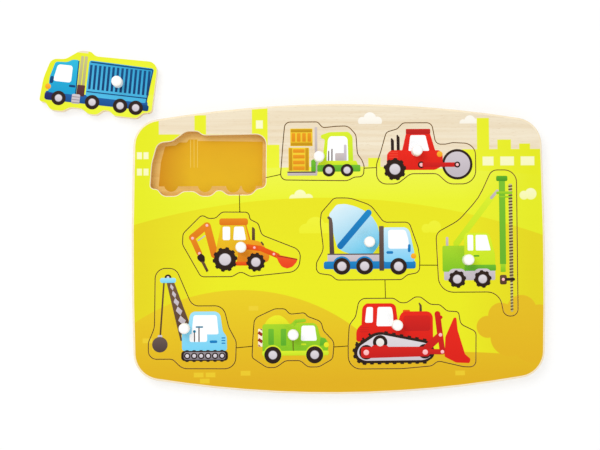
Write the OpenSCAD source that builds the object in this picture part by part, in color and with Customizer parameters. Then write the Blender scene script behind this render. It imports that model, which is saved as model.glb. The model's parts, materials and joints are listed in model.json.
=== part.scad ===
// Wooden peg puzzle: nine vehicle tiles sawn out of one panel that is glued on a base panel.
// The board's underside lies at Z = 0 with its middle at the origin, X runs along its length.
// One tile is out of its recess and lies on the table beside the board.

/* [Board] */
// Length of the board from left to right
board_length = 302; // [285:1:345]
// Width of the board from front to back
board_width = 212; // [200:1:240]
// How far the front and back edges bow out at the middle
long_edge_bow = 14; // [6:0.5:20]
// How far the left and right edges bow out at the middle
short_edge_bow = 2.4; // [1.2:0.2:6]
// Radius of the four corners
corner_radius = 20; // [12:1:28]
// Thickness of the base panel
base_thickness = 3; // [2:0.5:6]
// Thickness of the sawn panel and of every tile cut from it
panel_thickness = 7; // [5:0.5:12]
// Radius of the rounding along the board's upper and lower edges
edge_radius = 1.5; // [0.5:0.1:1.9]

/* [Saw cut] */
// Width of the saw cut round each tile
saw_cut = 0.6; // [0.5:0.1:1.4]
// Diameter of the hole that the saw blade is threaded through
blade_hole_diameter = 1.6; // [1.5:0.1:3]

/* [Pegs] */
// Diameter of a peg
peg_diameter = 7.8; // [6:0.2:11]
// Height of a peg above its tile
peg_height = 9.5; // [6:0.5:14]
// Radius of the rounded rim on top of a peg
peg_rim_radius = 2; // [0.8:0.1:2.8]
// Diameter of the tenon under a peg
tenon_diameter = 4.8; // [3:0.2:5.4]
// Depth of the tenon in its tile
tenon_depth = 4.5; // [3:0.25:4.75]
// Room for glue round the tenon and under it
glue_gap = 0.1; // [0.05:0.05:0.2]

/* [Container truck] */
// Length of the container truck
container_truck_length = 84; // [76:1:88]
// Height of the container truck
container_truck_height = 46.6; // [40:0.2:50]
// Turn of the truck tile where it lies on the table, in degrees
container_truck_turn = -6.6; // [-20:0.2:0]
// How far the truck tile lies to the left of the board's back left corner
container_truck_gap = 1.5; // [0:0.5:30]
// How far the truck tile lies behind that corner
container_truck_rise = 4.5; // [2:0.5:30]

/* [Forklift] */
// Length of the forklift
forklift_length = 61.6; // [54:0.2:66]
// Height of the forklift
forklift_height = 43.4; // [38:0.2:46]

/* [Road roller] */
// Length of the road roller
road_roller_length = 72.8; // [64:0.2:77]
// Height of the road roller
road_roller_height = 45.2; // [39:0.2:48]

/* [Drill rig] */
// Length of the drill rig
drill_rig_length = 60; // [52:0.2:64]
// Height of the drill rig
drill_rig_height = 107; // [96:1:112]

/* [Backhoe] */
// Length of the backhoe
backhoe_length = 86.4; // [76:0.2:90]
// Height of the backhoe
backhoe_height = 47.2; // [41:0.2:50]

/* [Cement mixer] */
// Length of the cement mixer
cement_mixer_length = 75.6; // [66:0.2:79]
// Height of the cement mixer
cement_mixer_height = 60; // [52:0.2:63]

/* [Wrecking crane] */
// Length of the wrecking crane
wrecking_crane_length = 63.8; // [56:0.2:66]
// Height of the wrecking crane
wrecking_crane_height = 73.2; // [64:0.2:77]

/* [Dump truck] */
// Length of the dump truck
dump_truck_length = 59.8; // [52:0.2:63]
// Height of the dump truck
dump_truck_height = 42.6; // [37:0.2:45]

/* [Bulldozer] */
// Length of the bulldozer
bulldozer_length = 93.4; // [84:0.2:97]
// Height of the bulldozer
bulldozer_height = 52; // [45:0.2:55]

/* [Hidden] */

// Finish of the true circles and the largest turn of one step along a sampled arc
$fn = 48;
arc_step_angle = 9;
// Cuts run past the faces that they open by this much
overrun = 1;
// The most of an edge that the arc at one of its ends may use
edge_share = 0.5;
// The middle of a vehicle along its length and its height
middle_share = 0.5;
// Steps along half of one of the board's long arcs
bow_steps = 6;
// Steps round the board's rounded upper and lower edges
edge_steps = 4;
// Thickness of the slices that the board's rounded edge is stretched over
edge_slice = 0.01;

// Height of the table that the board lies on
table_top = 0;

// Outlines: each row is a corner as a share of the vehicle's length and of its height, counted from
// the lower left of the vehicle, then the corner's radius as a share of the vehicle's height.
// The rows run anticlockwise and follow the middle of the saw cut.
container_truck_outline_shares = [
    [0.00, 0.12, 0.05], [0.06, 0.11, 0.08], [0.11, 0.00, 0.12], [0.22, 0.00, 0.14], [0.28, 0.075, 0.14],
    [0.38, 0.075, 0.14], [0.44, 0.00, 0.12], [0.52, 0.00, 0.12], [0.57, 0.085, 0.08], [0.62, 0.085, 0.08],
    [0.67, 0.015, 0.10], [0.87, 0.015, 0.12], [0.92, 0.11, 0.10], [0.995, 0.13, 0.09], [1.00, 0.95, 0.15],
    [0.45, 0.935, 0.12], [0.41, 1.00, 0.10], [0.31, 1.00, 0.16], [0.19, 0.84, 0.18], [0.065, 0.82, 0.13],
    [0.015, 0.50, 0.70]
];
forklift_outline_shares = [
    [0.00, 0.02, 0.10], [0.80, 0.00, 0.20], [0.88, 0.06, 0.10], [0.99, 0.07, 0.08], [1.00, 0.25, 0.16],
    [0.97, 0.36, 0.14], [0.92, 0.45, 0.16], [0.905, 0.78, 0.14], [0.81, 0.93, 0.15], [0.67, 0.925, 0.40],
    [0.51, 0.90, 0.08], [0.45, 1.00, 0.07], [0.06, 1.00, 0.10], [0.035, 0.64, 0.70]
];
road_roller_outline_shares = [
    [0.00, 0.005, 0.28], [0.21, 0.005, 0.22], [0.34, 0.17, 0.16], [0.61, 0.17, 0.14], [0.725, 0.00, 0.20],
    [1.00, 0.00, 0.33], [1.00, 0.655, 0.33], [0.77, 0.675, 0.20], [0.70, 0.65, 0.12], [0.60, 0.65, 0.13],
    [0.56, 1.00, 0.10], [0.27, 1.00, 0.09], [0.21, 0.90, 0.09], [0.10, 0.85, 0.09], [0.045, 0.54, 0.45],
    [0.00, 0.33, 0.20]
];
drill_rig_outline_shares = [
    [0.03, 0.165, 0.105], [0.765, 0.165, 0.105], [0.82, 0.00, 0.05], [0.99, 0.00, 0.05], [0.995, 1.00, 0.11],
    [0.69, 1.00, 0.06], [0.53, 0.81, 0.40], [0.28, 0.655, 0.25], [0.00, 0.57, 0.065]
];
backhoe_outline_shares = [
    [0.155, 0.00, 0.09], [0.42, 0.00, 0.13], [0.49, 0.08, 0.11], [0.57, 0.00, 0.11], [0.98, 0.075, 0.18],
    [1.00, 0.40, 0.15], [0.67, 0.64, 0.11], [0.64, 0.82, 0.09], [0.57, 0.885, 0.06], [0.56, 0.995, 0.07],
    [0.335, 1.00, 0.09], [0.28, 0.905, 0.09], [0.22, 0.90, 0.12], [0.165, 0.96, 0.07], [0.005, 0.67, 0.11],
    [0.00, 0.50, 0.13]
];
cement_mixer_outline_shares = [
    [0.00, 0.085, 0.08], [0.14, 0.06, 0.09], [0.195, 0.00, 0.07], [0.82, 0.00, 0.07], [0.88, 0.06, 0.09],
    [0.995, 0.085, 0.07], [1.00, 0.25, 0.25], [0.985, 0.39, 0.25], [0.90, 0.70, 0.07], [0.655, 0.70, 0.09],
    [0.53, 0.91, 0.20], [0.33, 1.00, 0.40], [0.175, 1.00, 0.08], [0.05, 0.82, 0.08], [0.04, 0.70, 0.20],
    [0.07, 0.37, 0.17], [0.00, 0.21, 0.10]
];
wrecking_crane_outline_shares = [
    [0.00, 0.10, 0.125], [0.275, 0.10, 0.07], [0.385, 0.005, 0.125], [0.99, 0.00, 0.11], [1.00, 0.27, 0.10],
    [0.915, 0.41, 0.20], [0.855, 0.625, 0.11], [0.50, 0.625, 0.10], [0.315, 1.00, 0.10], [0.08, 1.00, 0.15],
    [0.07, 0.41, 0.20], [0.00, 0.265, 0.11]
];
dump_truck_outline_shares = [
    [0.00, 0.17, 0.07], [0.18, 0.00, 0.16], [0.29, 0.00, 0.16], [0.405, 0.115, 0.14], [0.59, 0.115, 0.12],
    [0.675, 0.005, 0.14], [0.81, 0.005, 0.16], [0.98, 0.14, 0.10], [1.00, 0.43, 0.16], [0.87, 0.62, 0.14],
    [0.84, 0.78, 0.12], [0.68, 0.865, 0.12], [0.64, 0.93, 0.07], [0.46, 0.905, 0.09], [0.405, 1.00, 0.10],
    [0.28, 1.00, 0.16], [0.03, 0.84, 0.14], [0.01, 0.48, 0.50]
];
bulldozer_outline_shares = [
    [0.00, 0.00, 0.19], [0.42, 0.00, 0.80], [0.65, 0.035, 0.12], [0.70, 0.105, 0.10], [0.90, 0.02, 0.20],
    [0.995, 0.015, 0.125], [1.00, 0.51, 0.08], [0.88, 0.615, 0.10], [0.865, 0.79, 0.05], [0.775, 0.80, 0.10],
    [0.72, 0.89, 0.08], [0.645, 0.895, 0.12], [0.57, 1.00, 0.08], [0.525, 1.00, 0.08], [0.46, 0.92, 0.10],
    [0.41, 0.92, 0.10], [0.36, 0.985, 0.10], [0.09, 0.985, 0.11], [0.06, 0.73, 0.12], [0.01, 0.615, 0.15],
    [0.00, 0.35, 0.40]
];

// The recesses lie in three rows. Before each vehicle of a row, from left to right, there is a share of
// the length that the vehicles of the row leave free.
front_row_room_shares = [0.142, 0.134, 0.119];
middle_row_room_shares = [0.22, 0.202, 0.217];
back_row_room_shares = [0.309, 0.234, 0.2];
// Where the wrecking crane's boom stands along its length, which is where the middle row starts
wrecking_crane_boom_share = 0.2;
// Where the drill rig's mast begins along its length, which is where the back row ends
drill_rig_mast_share = 0.69;
// Where the middle of each vehicle lies across the board, as a share of the board's width
container_truck_across_share = 0.295;
forklift_across_share = 0.335;
road_roller_across_share = 0.326;
drill_rig_across_share = 0.015;
backhoe_across_share = 0.016;
cement_mixer_across_share = 0.032;
wrecking_crane_across_share = -0.238;
dump_truck_across_share = -0.307;
bulldozer_across_share = -0.292;

// Where each peg stands, as shares of its vehicle's length and height from the lower left
container_truck_peg_shares = [0.67, 0.55];
forklift_peg_shares = [0.46, 0.40];
road_roller_peg_shares = [0.402, 0.537];
drill_rig_peg_shares = [0.38, 0.385];
backhoe_peg_shares = [0.495, 0.45];
cement_mixer_peg_shares = [0.51, 0.46];
wrecking_crane_peg_shares = [0.415, 0.405];
dump_truck_peg_shares = [0.50, 0.56];
bulldozer_peg_shares = [0.38, 0.61];

// Places along the rows: a row runs from its start to its end and holds lengths and room shares
function total(values, count) = count == 0 ? 0 : values[count - 1] + total(values, count - 1);
function along(row, place) =
    let (start = row[0], end = row[1], lengths = row[2], room_shares = row[3])
    let (free = end - start - total(lengths, len(lengths)))
    start + free * total(room_shares, place + 1) + total(lengths, place) + lengths[place] / 2;
left_end = -board_length / 2;
right_end = board_length / 2;
front_row = [
    left_end, right_end, [wrecking_crane_length, dump_truck_length, bulldozer_length], front_row_room_shares
];
boom_place = along(front_row, 0) + (wrecking_crane_boom_share - middle_share) * wrecking_crane_length;
middle_row = [
    boom_place, right_end, [backhoe_length, cement_mixer_length, drill_rig_length], middle_row_room_shares
];
mast_place = along(middle_row, 2) + (drill_rig_mast_share - middle_share) * drill_rig_length;
back_row = [
    left_end, mast_place, [container_truck_length, forklift_length, road_roller_length], back_row_room_shares
];

// A vehicle holds its size, the middle of its recess, the place of its peg and its outline
container_truck = [
    [container_truck_length, container_truck_height],
    [along(back_row, 0), container_truck_across_share * board_width],
    container_truck_peg_shares, container_truck_outline_shares
];
forklift = [
    [forklift_length, forklift_height],
    [along(back_row, 1), forklift_across_share * board_width],
    forklift_peg_shares, forklift_outline_shares
];
road_roller = [
    [road_roller_length, road_roller_height],
    [along(back_row, 2), road_roller_across_share * board_width],
    road_roller_peg_shares, road_roller_outline_shares
];
drill_rig = [
    [drill_rig_length, drill_rig_height],
    [along(middle_row, 2), drill_rig_across_share * board_width],
    drill_rig_peg_shares, drill_rig_outline_shares
];
backhoe = [
    [backhoe_length, backhoe_height],
    [along(middle_row, 0), backhoe_across_share * board_width],
    backhoe_peg_shares, backhoe_outline_shares
];
cement_mixer = [
    [cement_mixer_length, cement_mixer_height],
    [along(middle_row, 1), cement_mixer_across_share * board_width],
    cement_mixer_peg_shares, cement_mixer_outline_shares
];
wrecking_crane = [
    [wrecking_crane_length, wrecking_crane_height],
    [along(front_row, 0), wrecking_crane_across_share * board_width],
    wrecking_crane_peg_shares, wrecking_crane_outline_shares
];
dump_truck = [
    [dump_truck_length, dump_truck_height],
    [along(front_row, 1), dump_truck_across_share * board_width],
    dump_truck_peg_shares, dump_truck_outline_shares
];
bulldozer = [
    [bulldozer_length, bulldozer_height],
    [along(front_row, 2), bulldozer_across_share * board_width],
    bulldozer_peg_shares, bulldozer_outline_shares
];
vehicles = [
    container_truck, forklift, road_roller, drill_rig, backhoe,
    cement_mixer, wrecking_crane, dump_truck, bulldozer
];

// Straight saw cuts between two recesses: the ends are shares of the size of the vehicle at that end
saw_link_shares = [
    [container_truck, [0.97, 0.26], forklift, [0.03, 0.12]],
    [forklift, [0.97, 0.21], road_roller, [0.03, 0.275]],
    [container_truck, [0.77, 0.05], backhoe, [0.485, 0.98]],
    [wrecking_crane, [0.97, 0.205], dump_truck, [0.05, 0.37]],
    [dump_truck, [0.97, 0.34], bulldozer, [0.03, 0.325]],
    [bulldozer, [0.295, 0.95], cement_mixer, [0.66, 0.04]],
    [cement_mixer, [0.97, 0.175], drill_rig, [0.05, 0.35]]
];
// Where the saw blade is threaded in to start each run of cuts
blade_hole_shares = [
    [backhoe, [0.485, 0.995]],
    [wrecking_crane, [0.99, 0.21]]
];

// Direction, angle and place helpers
function unit(v) = v / norm(v);
function heading(v) = atan2(v.y, v.x);
function turned(v, angle) = [v.x * cos(angle) - v.y * sin(angle), v.x * sin(angle) + v.y * cos(angle)];
function on_circle(centre, radius, angle) = centre + radius * [cos(angle), sin(angle)];
function arc(centre, radius, from, to) =
    let (steps = max(2, ceil(abs(to - from) / arc_step_angle)))
    [for (i = [0 : steps]) on_circle(centre, radius, from + (to - from) * i / steps)];

function size_of(vehicle) = vehicle[0];
function middle_of(vehicle) = vehicle[1];
function spot(vehicle, shares) =
    [(shares.x - middle_share) * size_of(vehicle).x, (shares.y - middle_share) * size_of(vehicle).y];
function peg_spot(vehicle) = spot(vehicle, vehicle[2]);

// One corner of an outline as an arc that touches both its edges, moved outwards by grow
function corner_arc(before, corner, after, radius, grow) =
    let (
        way_in = unit(corner - before),
        way_out = unit(after - corner),
        turn = atan2(cross(way_in, way_out), way_in * way_out),
        side = sign(turn),
        slope = tan(abs(turn) / 2),
        room = edge_share * min(norm(corner - before), norm(after - corner)),
        reach = min(radius * slope, room),
        fitted = reach / slope,
        centre = corner - reach * way_in + side * fitted * turned(way_in, 90),
        start = heading(way_in) - side * 90
    )
    arc(centre, fitted + side * grow, start, start + turn);

// A vehicle's outline with every corner rounded, about the vehicle's own middle
function outline(vehicle, grow) =
    let (
        rows = vehicle[3],
        count = len(rows),
        corners = [for (row = rows) spot(vehicle, row)]
    )
    [for (i = [0 : count - 1])
        each corner_arc(
            corners[(i + count - 1) % count], corners[i], corners[(i + 1) % count],
            rows[i][2] * size_of(vehicle).y, grow
        )];

// The board's edges are four long arcs, and each corner is an arc that touches two of them
function bow_radius(span, bow) = (span * span / 4 + bow * bow) / (2 * bow);
long_radius = bow_radius(board_length, long_edge_bow);
short_radius = bow_radius(board_width, short_edge_bow);
long_centre = [0, board_width / 2 - long_radius];
short_centre = [board_length / 2 - short_radius, 0];

// Meeting point of two circles, the one to the right of the way from the first to the second
function circles_meet(c1, r1, c2, r2) =
    let (
        apart = norm(c2 - c1),
        along = (r1 * r1 - r2 * r2 + apart * apart) / (2 * apart),
        aside = sqrt(r1 * r1 - along * along),
        way = unit(c2 - c1)
    )
    c1 + along * way + aside * turned(way, -90);
corner_centre =
    circles_meet(long_centre, long_radius - corner_radius, short_centre, short_radius - corner_radius);
short_angle = heading(corner_centre - short_centre);
long_angle = heading(corner_centre - long_centre);

function without_ends(points) = [for (i = [1 : len(points) - 2]) points[i]];
function reversed(points) = [for (i = [len(points) - 1 : -1 : 0]) points[i]];
function scaled(points, factors) = [for (p = points) [p.x * factors.x, p.y * factors.y]];
function bow_arc(centre, radius, from, to) =
    [for (i = [0 : bow_steps]) on_circle(centre, radius, from + (to - from) * i / bow_steps)];
// A quarter of the board's outline from the right end to the back, drawn in by inset
function quarter(inset) = concat(
    bow_arc(short_centre, short_radius - inset, 0, short_angle),
    without_ends(arc(corner_centre, corner_radius - inset, short_angle, long_angle)),
    bow_arc(long_centre, long_radius - inset, long_angle, 90)
);
function back_half(inset) =
    let (right = quarter(inset))
    concat(right, scaled([for (i = [len(right) - 2 : -1 : 0]) right[i]], [-1, 1]));
function board_outline(inset) =
    let (back = back_half(inset))
    concat(back, scaled(reversed(without_ends(back)), [1, -1]));

// The truck tile lies on the table beyond the board's back left corner
truck_sine = sin(abs(container_truck_turn));
truck_cosine = cos(container_truck_turn);
truck_half_x = (container_truck_length * truck_cosine + container_truck_height * truck_sine) / 2;
truck_half_y = (container_truck_length * truck_sine + container_truck_height * truck_cosine) / 2;
corner_shoulder = corner_centre.y + corner_radius * sin(45);
truck_spot = [
    -corner_centre.x - container_truck_gap - truck_half_x,
    corner_shoulder + container_truck_rise + truck_half_y
];

// A slice of the board that the hull of a panel is stretched over
module board_slice(inset, from, to) {
    translate([0, 0, from])
        linear_extrude(to - from) polygon(board_outline(inset));
}

// A panel of the board with its upper edge rounded over, cut flat below
module board_slab(thickness) {
    shoulder = thickness - edge_radius;
    intersection() {
        hull() {
            board_slice(0, -overrun, shoulder);
            for (i = [1 : edge_steps - 1])
                let (angle = 90 * i / edge_steps, rise = shoulder + edge_radius * sin(angle))
                    board_slice(edge_radius * (1 - cos(angle)), rise - edge_slice, rise);
            board_slice(edge_radius, shoulder, thickness);
        }
        translate([-board_length, -board_width, 0])
            cube([2 * board_length, 2 * board_width, thickness + overrun]);
    }
}

module vehicle_prism(vehicle, thickness, grow) {
    linear_extrude(thickness) polygon(outline(vehicle, grow));
}

// A straight saw cut between two places on the board
module saw_slot(from, to, thickness) {
    translate(from)
        rotate(heading(to - from))
            translate([0, -saw_cut / 2])
                linear_extrude(thickness) square([norm(to - from), saw_cut]);
}

// A tile lies at its own middle with its underside at zero
module tile(vehicle) {
    difference() {
        vehicle_prism(vehicle, panel_thickness, -saw_cut / 2);
        translate(concat(peg_spot(vehicle), panel_thickness - tenon_depth - glue_gap))
            cylinder(d = tenon_diameter + 2 * glue_gap, h = tenon_depth + glue_gap + overrun);
    }
}

// A peg stands on its tile's upper face and its tenon goes down into the tile
module peg(vehicle) {
    rim = arc([peg_diameter / 2 - peg_rim_radius, peg_height - peg_rim_radius], peg_rim_radius, 0, 90);
    tenon = [[0, -tenon_depth], [tenon_diameter / 2, -tenon_depth], [tenon_diameter / 2, 0]];
    profile = concat(tenon, [[peg_diameter / 2, 0]], rim, [[0, peg_height]]);
    translate(concat(peg_spot(vehicle), panel_thickness))
        rotate_extrude() polygon(profile);
}

// Puts a piece of a vehicle in its recess, or where it lies on the table
module in_recess(vehicle) {
    translate(concat(middle_of(vehicle), base_thickness)) children();
}

module on_table() {
    translate(concat(truck_spot, table_top)) rotate(container_truck_turn) children();
}

module base_panel() {
    color("burlywood")
        translate([0, 0, base_thickness])
            mirror([0, 0, 1]) board_slab(base_thickness);
}

module top_panel() {
    cut = panel_thickness + 2 * overrun;
    color("yellow")
        translate([0, 0, base_thickness])
            difference() {
                board_slab(panel_thickness);
                for (vehicle = vehicles)
                    translate(concat(middle_of(vehicle), -overrun))
                        vehicle_prism(vehicle, cut, saw_cut / 2);
                for (link = saw_link_shares)
                    translate([0, 0, -overrun])
                        saw_slot(
                            middle_of(link[0]) + spot(link[0], link[1]),
                            middle_of(link[2]) + spot(link[2], link[3]),
                            cut
                        );
                for (hole = blade_hole_shares)
                    translate(concat(middle_of(hole[0]) + spot(hole[0], hole[1]), -overrun))
                        cylinder(d = blade_hole_diameter, h = cut);
            }
}

module container_truck_tile() {
    color("dodgerblue") on_table() tile(container_truck);
}

module container_truck_peg() {
    color("white") on_table() peg(container_truck);
}

module forklift_tile() {
    color("yellowgreen") in_recess(forklift) tile(forklift);
}

module forklift_peg() {
    color("white") in_recess(forklift) peg(forklift);
}

module road_roller_tile() {
    color("red") in_recess(road_roller) tile(road_roller);
}

module road_roller_peg() {
    color("white") in_recess(road_roller) peg(road_roller);
}

module drill_rig_tile() {
    color("limegreen") in_recess(drill_rig) tile(drill_rig);
}

module drill_rig_peg() {
    color("white") in_recess(drill_rig) peg(drill_rig);
}

module backhoe_tile() {
    color("orange") in_recess(backhoe) tile(backhoe);
}

module backhoe_peg() {
    color("white") in_recess(backhoe) peg(backhoe);
}

module cement_mixer_tile() {
    color("skyblue") in_recess(cement_mixer) tile(cement_mixer);
}

module cement_mixer_peg() {
    color("white") in_recess(cement_mixer) peg(cement_mixer);
}

module wrecking_crane_tile() {
    color("lightskyblue") in_recess(wrecking_crane) tile(wrecking_crane);
}

module wrecking_crane_peg() {
    color("white") in_recess(wrecking_crane) peg(wrecking_crane);
}

module dump_truck_tile() {
    color("forestgreen") in_recess(dump_truck) tile(dump_truck);
}

module dump_truck_peg() {
    color("white") in_recess(dump_truck) peg(dump_truck);
}

module bulldozer_tile() {
    color("firebrick") in_recess(bulldozer) tile(bulldozer);
}

module bulldozer_peg() {
    color("white") in_recess(bulldozer) peg(bulldozer);
}

base_panel();
top_panel();
container_truck_tile();
container_truck_peg();
forklift_tile();
forklift_peg();
road_roller_tile();
road_roller_peg();
drill_rig_tile();
drill_rig_peg();
backhoe_tile();
backhoe_peg();
cement_mixer_tile();
cement_mixer_peg();
wrecking_crane_tile();
wrecking_crane_peg();
dump_truck_tile();
dump_truck_peg();
bulldozer_tile();
bulldozer_peg();
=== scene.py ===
"""Dresses a wooden peg puzzle: a printed board with nine printed vehicle tiles and their painted pegs."""

import json
import logging
import math
from dataclasses import dataclass, fields
from enum import Enum
from functools import reduce
from typing import Any, Callable, ClassVar, Optional, Sequence, Union

import bmesh
import bpy
from mathutils import Matrix, Vector

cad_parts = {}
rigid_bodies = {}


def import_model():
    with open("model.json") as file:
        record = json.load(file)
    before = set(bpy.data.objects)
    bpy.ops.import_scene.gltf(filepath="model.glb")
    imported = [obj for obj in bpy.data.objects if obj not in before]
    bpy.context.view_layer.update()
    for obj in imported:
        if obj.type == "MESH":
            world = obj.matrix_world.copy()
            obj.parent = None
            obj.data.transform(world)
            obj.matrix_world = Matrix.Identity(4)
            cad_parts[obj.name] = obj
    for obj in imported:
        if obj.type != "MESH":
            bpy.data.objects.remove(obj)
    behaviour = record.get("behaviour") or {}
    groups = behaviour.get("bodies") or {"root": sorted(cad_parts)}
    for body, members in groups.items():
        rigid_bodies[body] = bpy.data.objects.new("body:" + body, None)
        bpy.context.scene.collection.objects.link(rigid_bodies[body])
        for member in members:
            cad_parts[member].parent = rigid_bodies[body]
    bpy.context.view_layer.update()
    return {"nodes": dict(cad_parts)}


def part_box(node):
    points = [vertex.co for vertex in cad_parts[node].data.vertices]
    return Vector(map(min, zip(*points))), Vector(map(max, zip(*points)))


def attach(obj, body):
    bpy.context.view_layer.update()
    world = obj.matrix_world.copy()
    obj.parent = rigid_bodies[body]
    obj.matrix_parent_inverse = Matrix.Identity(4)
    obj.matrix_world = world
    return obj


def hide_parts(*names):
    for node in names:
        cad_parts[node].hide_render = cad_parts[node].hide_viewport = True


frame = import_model()

log = logging.getLogger("peg_puzzle")

# Shared values
MM = 0.001
INK_LAYER = "ink"
FLAT_NORMAL = 0.99
UPRIGHT_NORMAL = 0.1
MERGE_GAP = 0.002 * MM
FLAT_ANGLE = math.radians(0.2)
SMOOTH_ANGLE = math.radians(40)
EASE_STEPS = 2
PANEL_PLIES = 5
MATRIX_SIZE = 4

Point = tuple[float, float]
Span = tuple[float, float]
Triple = tuple[float, float, float]
Rgb = tuple[int, int, int]
Colour = tuple[float, float, float, float]

WHITE: Rgb = (255, 255, 255)

# The curve from screen colours to light
FULL_BYTE = 255
TOE_END = 0.04045
TOE_SLOPE = 12.92
CURVE_LIFT = 0.055
CURVE_POWER = 2.4


def linear(rgb: Rgb) -> Colour:
    """Turns a screen colour into the linear colour that a shader takes.

    Args:
        rgb: Red, green and blue from 0 to 255.

    Returns:
        The same colour in linear light, with full alpha.
    """
    light = []
    for share in (value / FULL_BYTE for value in rgb):
        curve = ((share + CURVE_LIFT) / (1 + CURVE_LIFT)) ** CURVE_POWER
        light.append(share / TOE_SLOPE if share <= TOE_END else curve)
    return (*light, 1.0)


def blend(low: Colour, high: Colour, share: float) -> Colour:
    """Mixes two linear colours.

    Args:
        low: Colour at a share of 0.
        high: Colour at a share of 1.
        share: How far the mix lies towards high.

    Returns:
        The mixed colour.
    """
    return tuple(a + (b - a) * share for a, b in zip(low, high))


# Inks of the vehicle pictures
@dataclass(frozen=True)
class Tone:
    """An ink's colour at the upper and at the lower end of a printed shape."""

    top: Rgb
    bottom: Rgb

    def at(self, share: float) -> Colour:
        """Gives the colour at a share of the shape's height."""
        return blend(linear(self.bottom), linear(self.top), share)


class Ink(Enum):
    """The printing inks of the puzzle."""

    TYRE = Tone((46, 31, 25), (38, 24, 19))
    RIM = Tone((150, 142, 148), (126, 118, 124))
    HUB = Tone((224, 218, 223), (202, 194, 202))
    WINDOW = Tone((255, 255, 255), (250, 251, 253))
    PEARL = Tone((240, 236, 230), (226, 222, 216))
    CREAM = Tone((255, 240, 220), (250, 232, 208))
    GREY = Tone((204, 192, 190), (184, 174, 176))
    STEEL = Tone((206, 197, 204), (190, 181, 188))
    IRON = Tone((104, 86, 80), (78, 62, 58))
    BROWN = Tone((104, 76, 52), (78, 52, 36))
    UMBER = Tone((96, 52, 52), (78, 40, 42))
    COCOA = Tone((114, 86, 64), (90, 66, 50))
    MOSS = Tone((118, 134, 30), (104, 118, 24))
    TAN = Tone((198, 192, 136), (180, 170, 114))
    PINK = Tone((255, 204, 204), (248, 172, 176))
    LIME = Tone((217, 236, 46), (194, 226, 34))
    LEAF = Tone((166, 213, 42), (127, 193, 36))
    GREEN = Tone((112, 187, 48), (90, 170, 40))
    FERN = Tone((124, 190, 47), (104, 177, 42))
    FOREST = Tone((94, 174, 43), (70, 150, 36))
    RED = Tone((230, 40, 26), (218, 31, 22))
    CRIMSON = Tone((211, 34, 28), (194, 28, 26))
    GARNET = Tone((197, 34, 28), (182, 28, 26))
    SCARLET = Tone((233, 94, 20), (221, 70, 12))
    ORANGE = Tone((230, 136, 27), (219, 116, 19))
    TANGERINE = Tone((236, 162, 32), (220, 120, 20))
    AMBER = Tone((233, 200, 33), (229, 170, 25))
    CRATE = Tone((236, 154, 30), (222, 140, 24))
    CRATE_LIGHT = Tone((242, 208, 54), (232, 190, 38))
    CRATE_DARK = Tone((206, 156, 23), (193, 140, 18))
    SAND = Tone((233, 235, 42), (226, 226, 36))
    SKY = Tone((162, 224, 244), (118, 208, 242))
    PALE_SKY = Tone((221, 240, 247), (86, 194, 231))
    MIST = Tone((202, 234, 246), (122, 204, 242))
    AZURE = Tone((42, 183, 217), (16, 155, 204))
    CYAN = Tone((44, 156, 204), (78, 184, 226))
    BLUE = Tone((28, 134, 196), (18, 110, 180))
    COBALT = Tone((26, 94, 162), (17, 74, 138))
    NAVY = Tone((6, 74, 126), (6, 55, 106))
    INDIGO = Tone((34, 44, 112), (24, 30, 92))
    LAMP = Tone((250, 186, 48), (240, 152, 30))
    # ochre of the recess floors, darker and more orange at the top: partly the print's own tone, partly a
    # painted shade from the recesses' upper walls
    OCHRE = Tone((222, 165, 29), (228, 184, 31))
    STRAW = Tone((238, 204, 96), (236, 198, 84))
    POPPY = Tone((242, 74, 50), (232, 48, 36))
    FLAME = Tone((238, 86, 36), (230, 62, 28))
    TEAL = Tone((26, 128, 158), (16, 110, 144))
    RUST = Tone((158, 56, 32), (144, 46, 28))


# Inks that keep their own tone on the floor of a recess
FLOOR_INKS = (Ink.STRAW,)


# Printing press
@dataclass(frozen=True)
class PressSettings:
    """How thick the ink is and how finely round shapes are drawn, in mm, counts and shares."""

    sink: float = 0.05
    first_layer: float = 0.02
    layer_step: float = 0.004
    disc_steps: int = 40
    corner_steps: int = 5
    lug_depth_share: float = 0.12
    lug_steps: int = 4
    valley_steps: int = 4
    bar_round_share: float = 0.49


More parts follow.
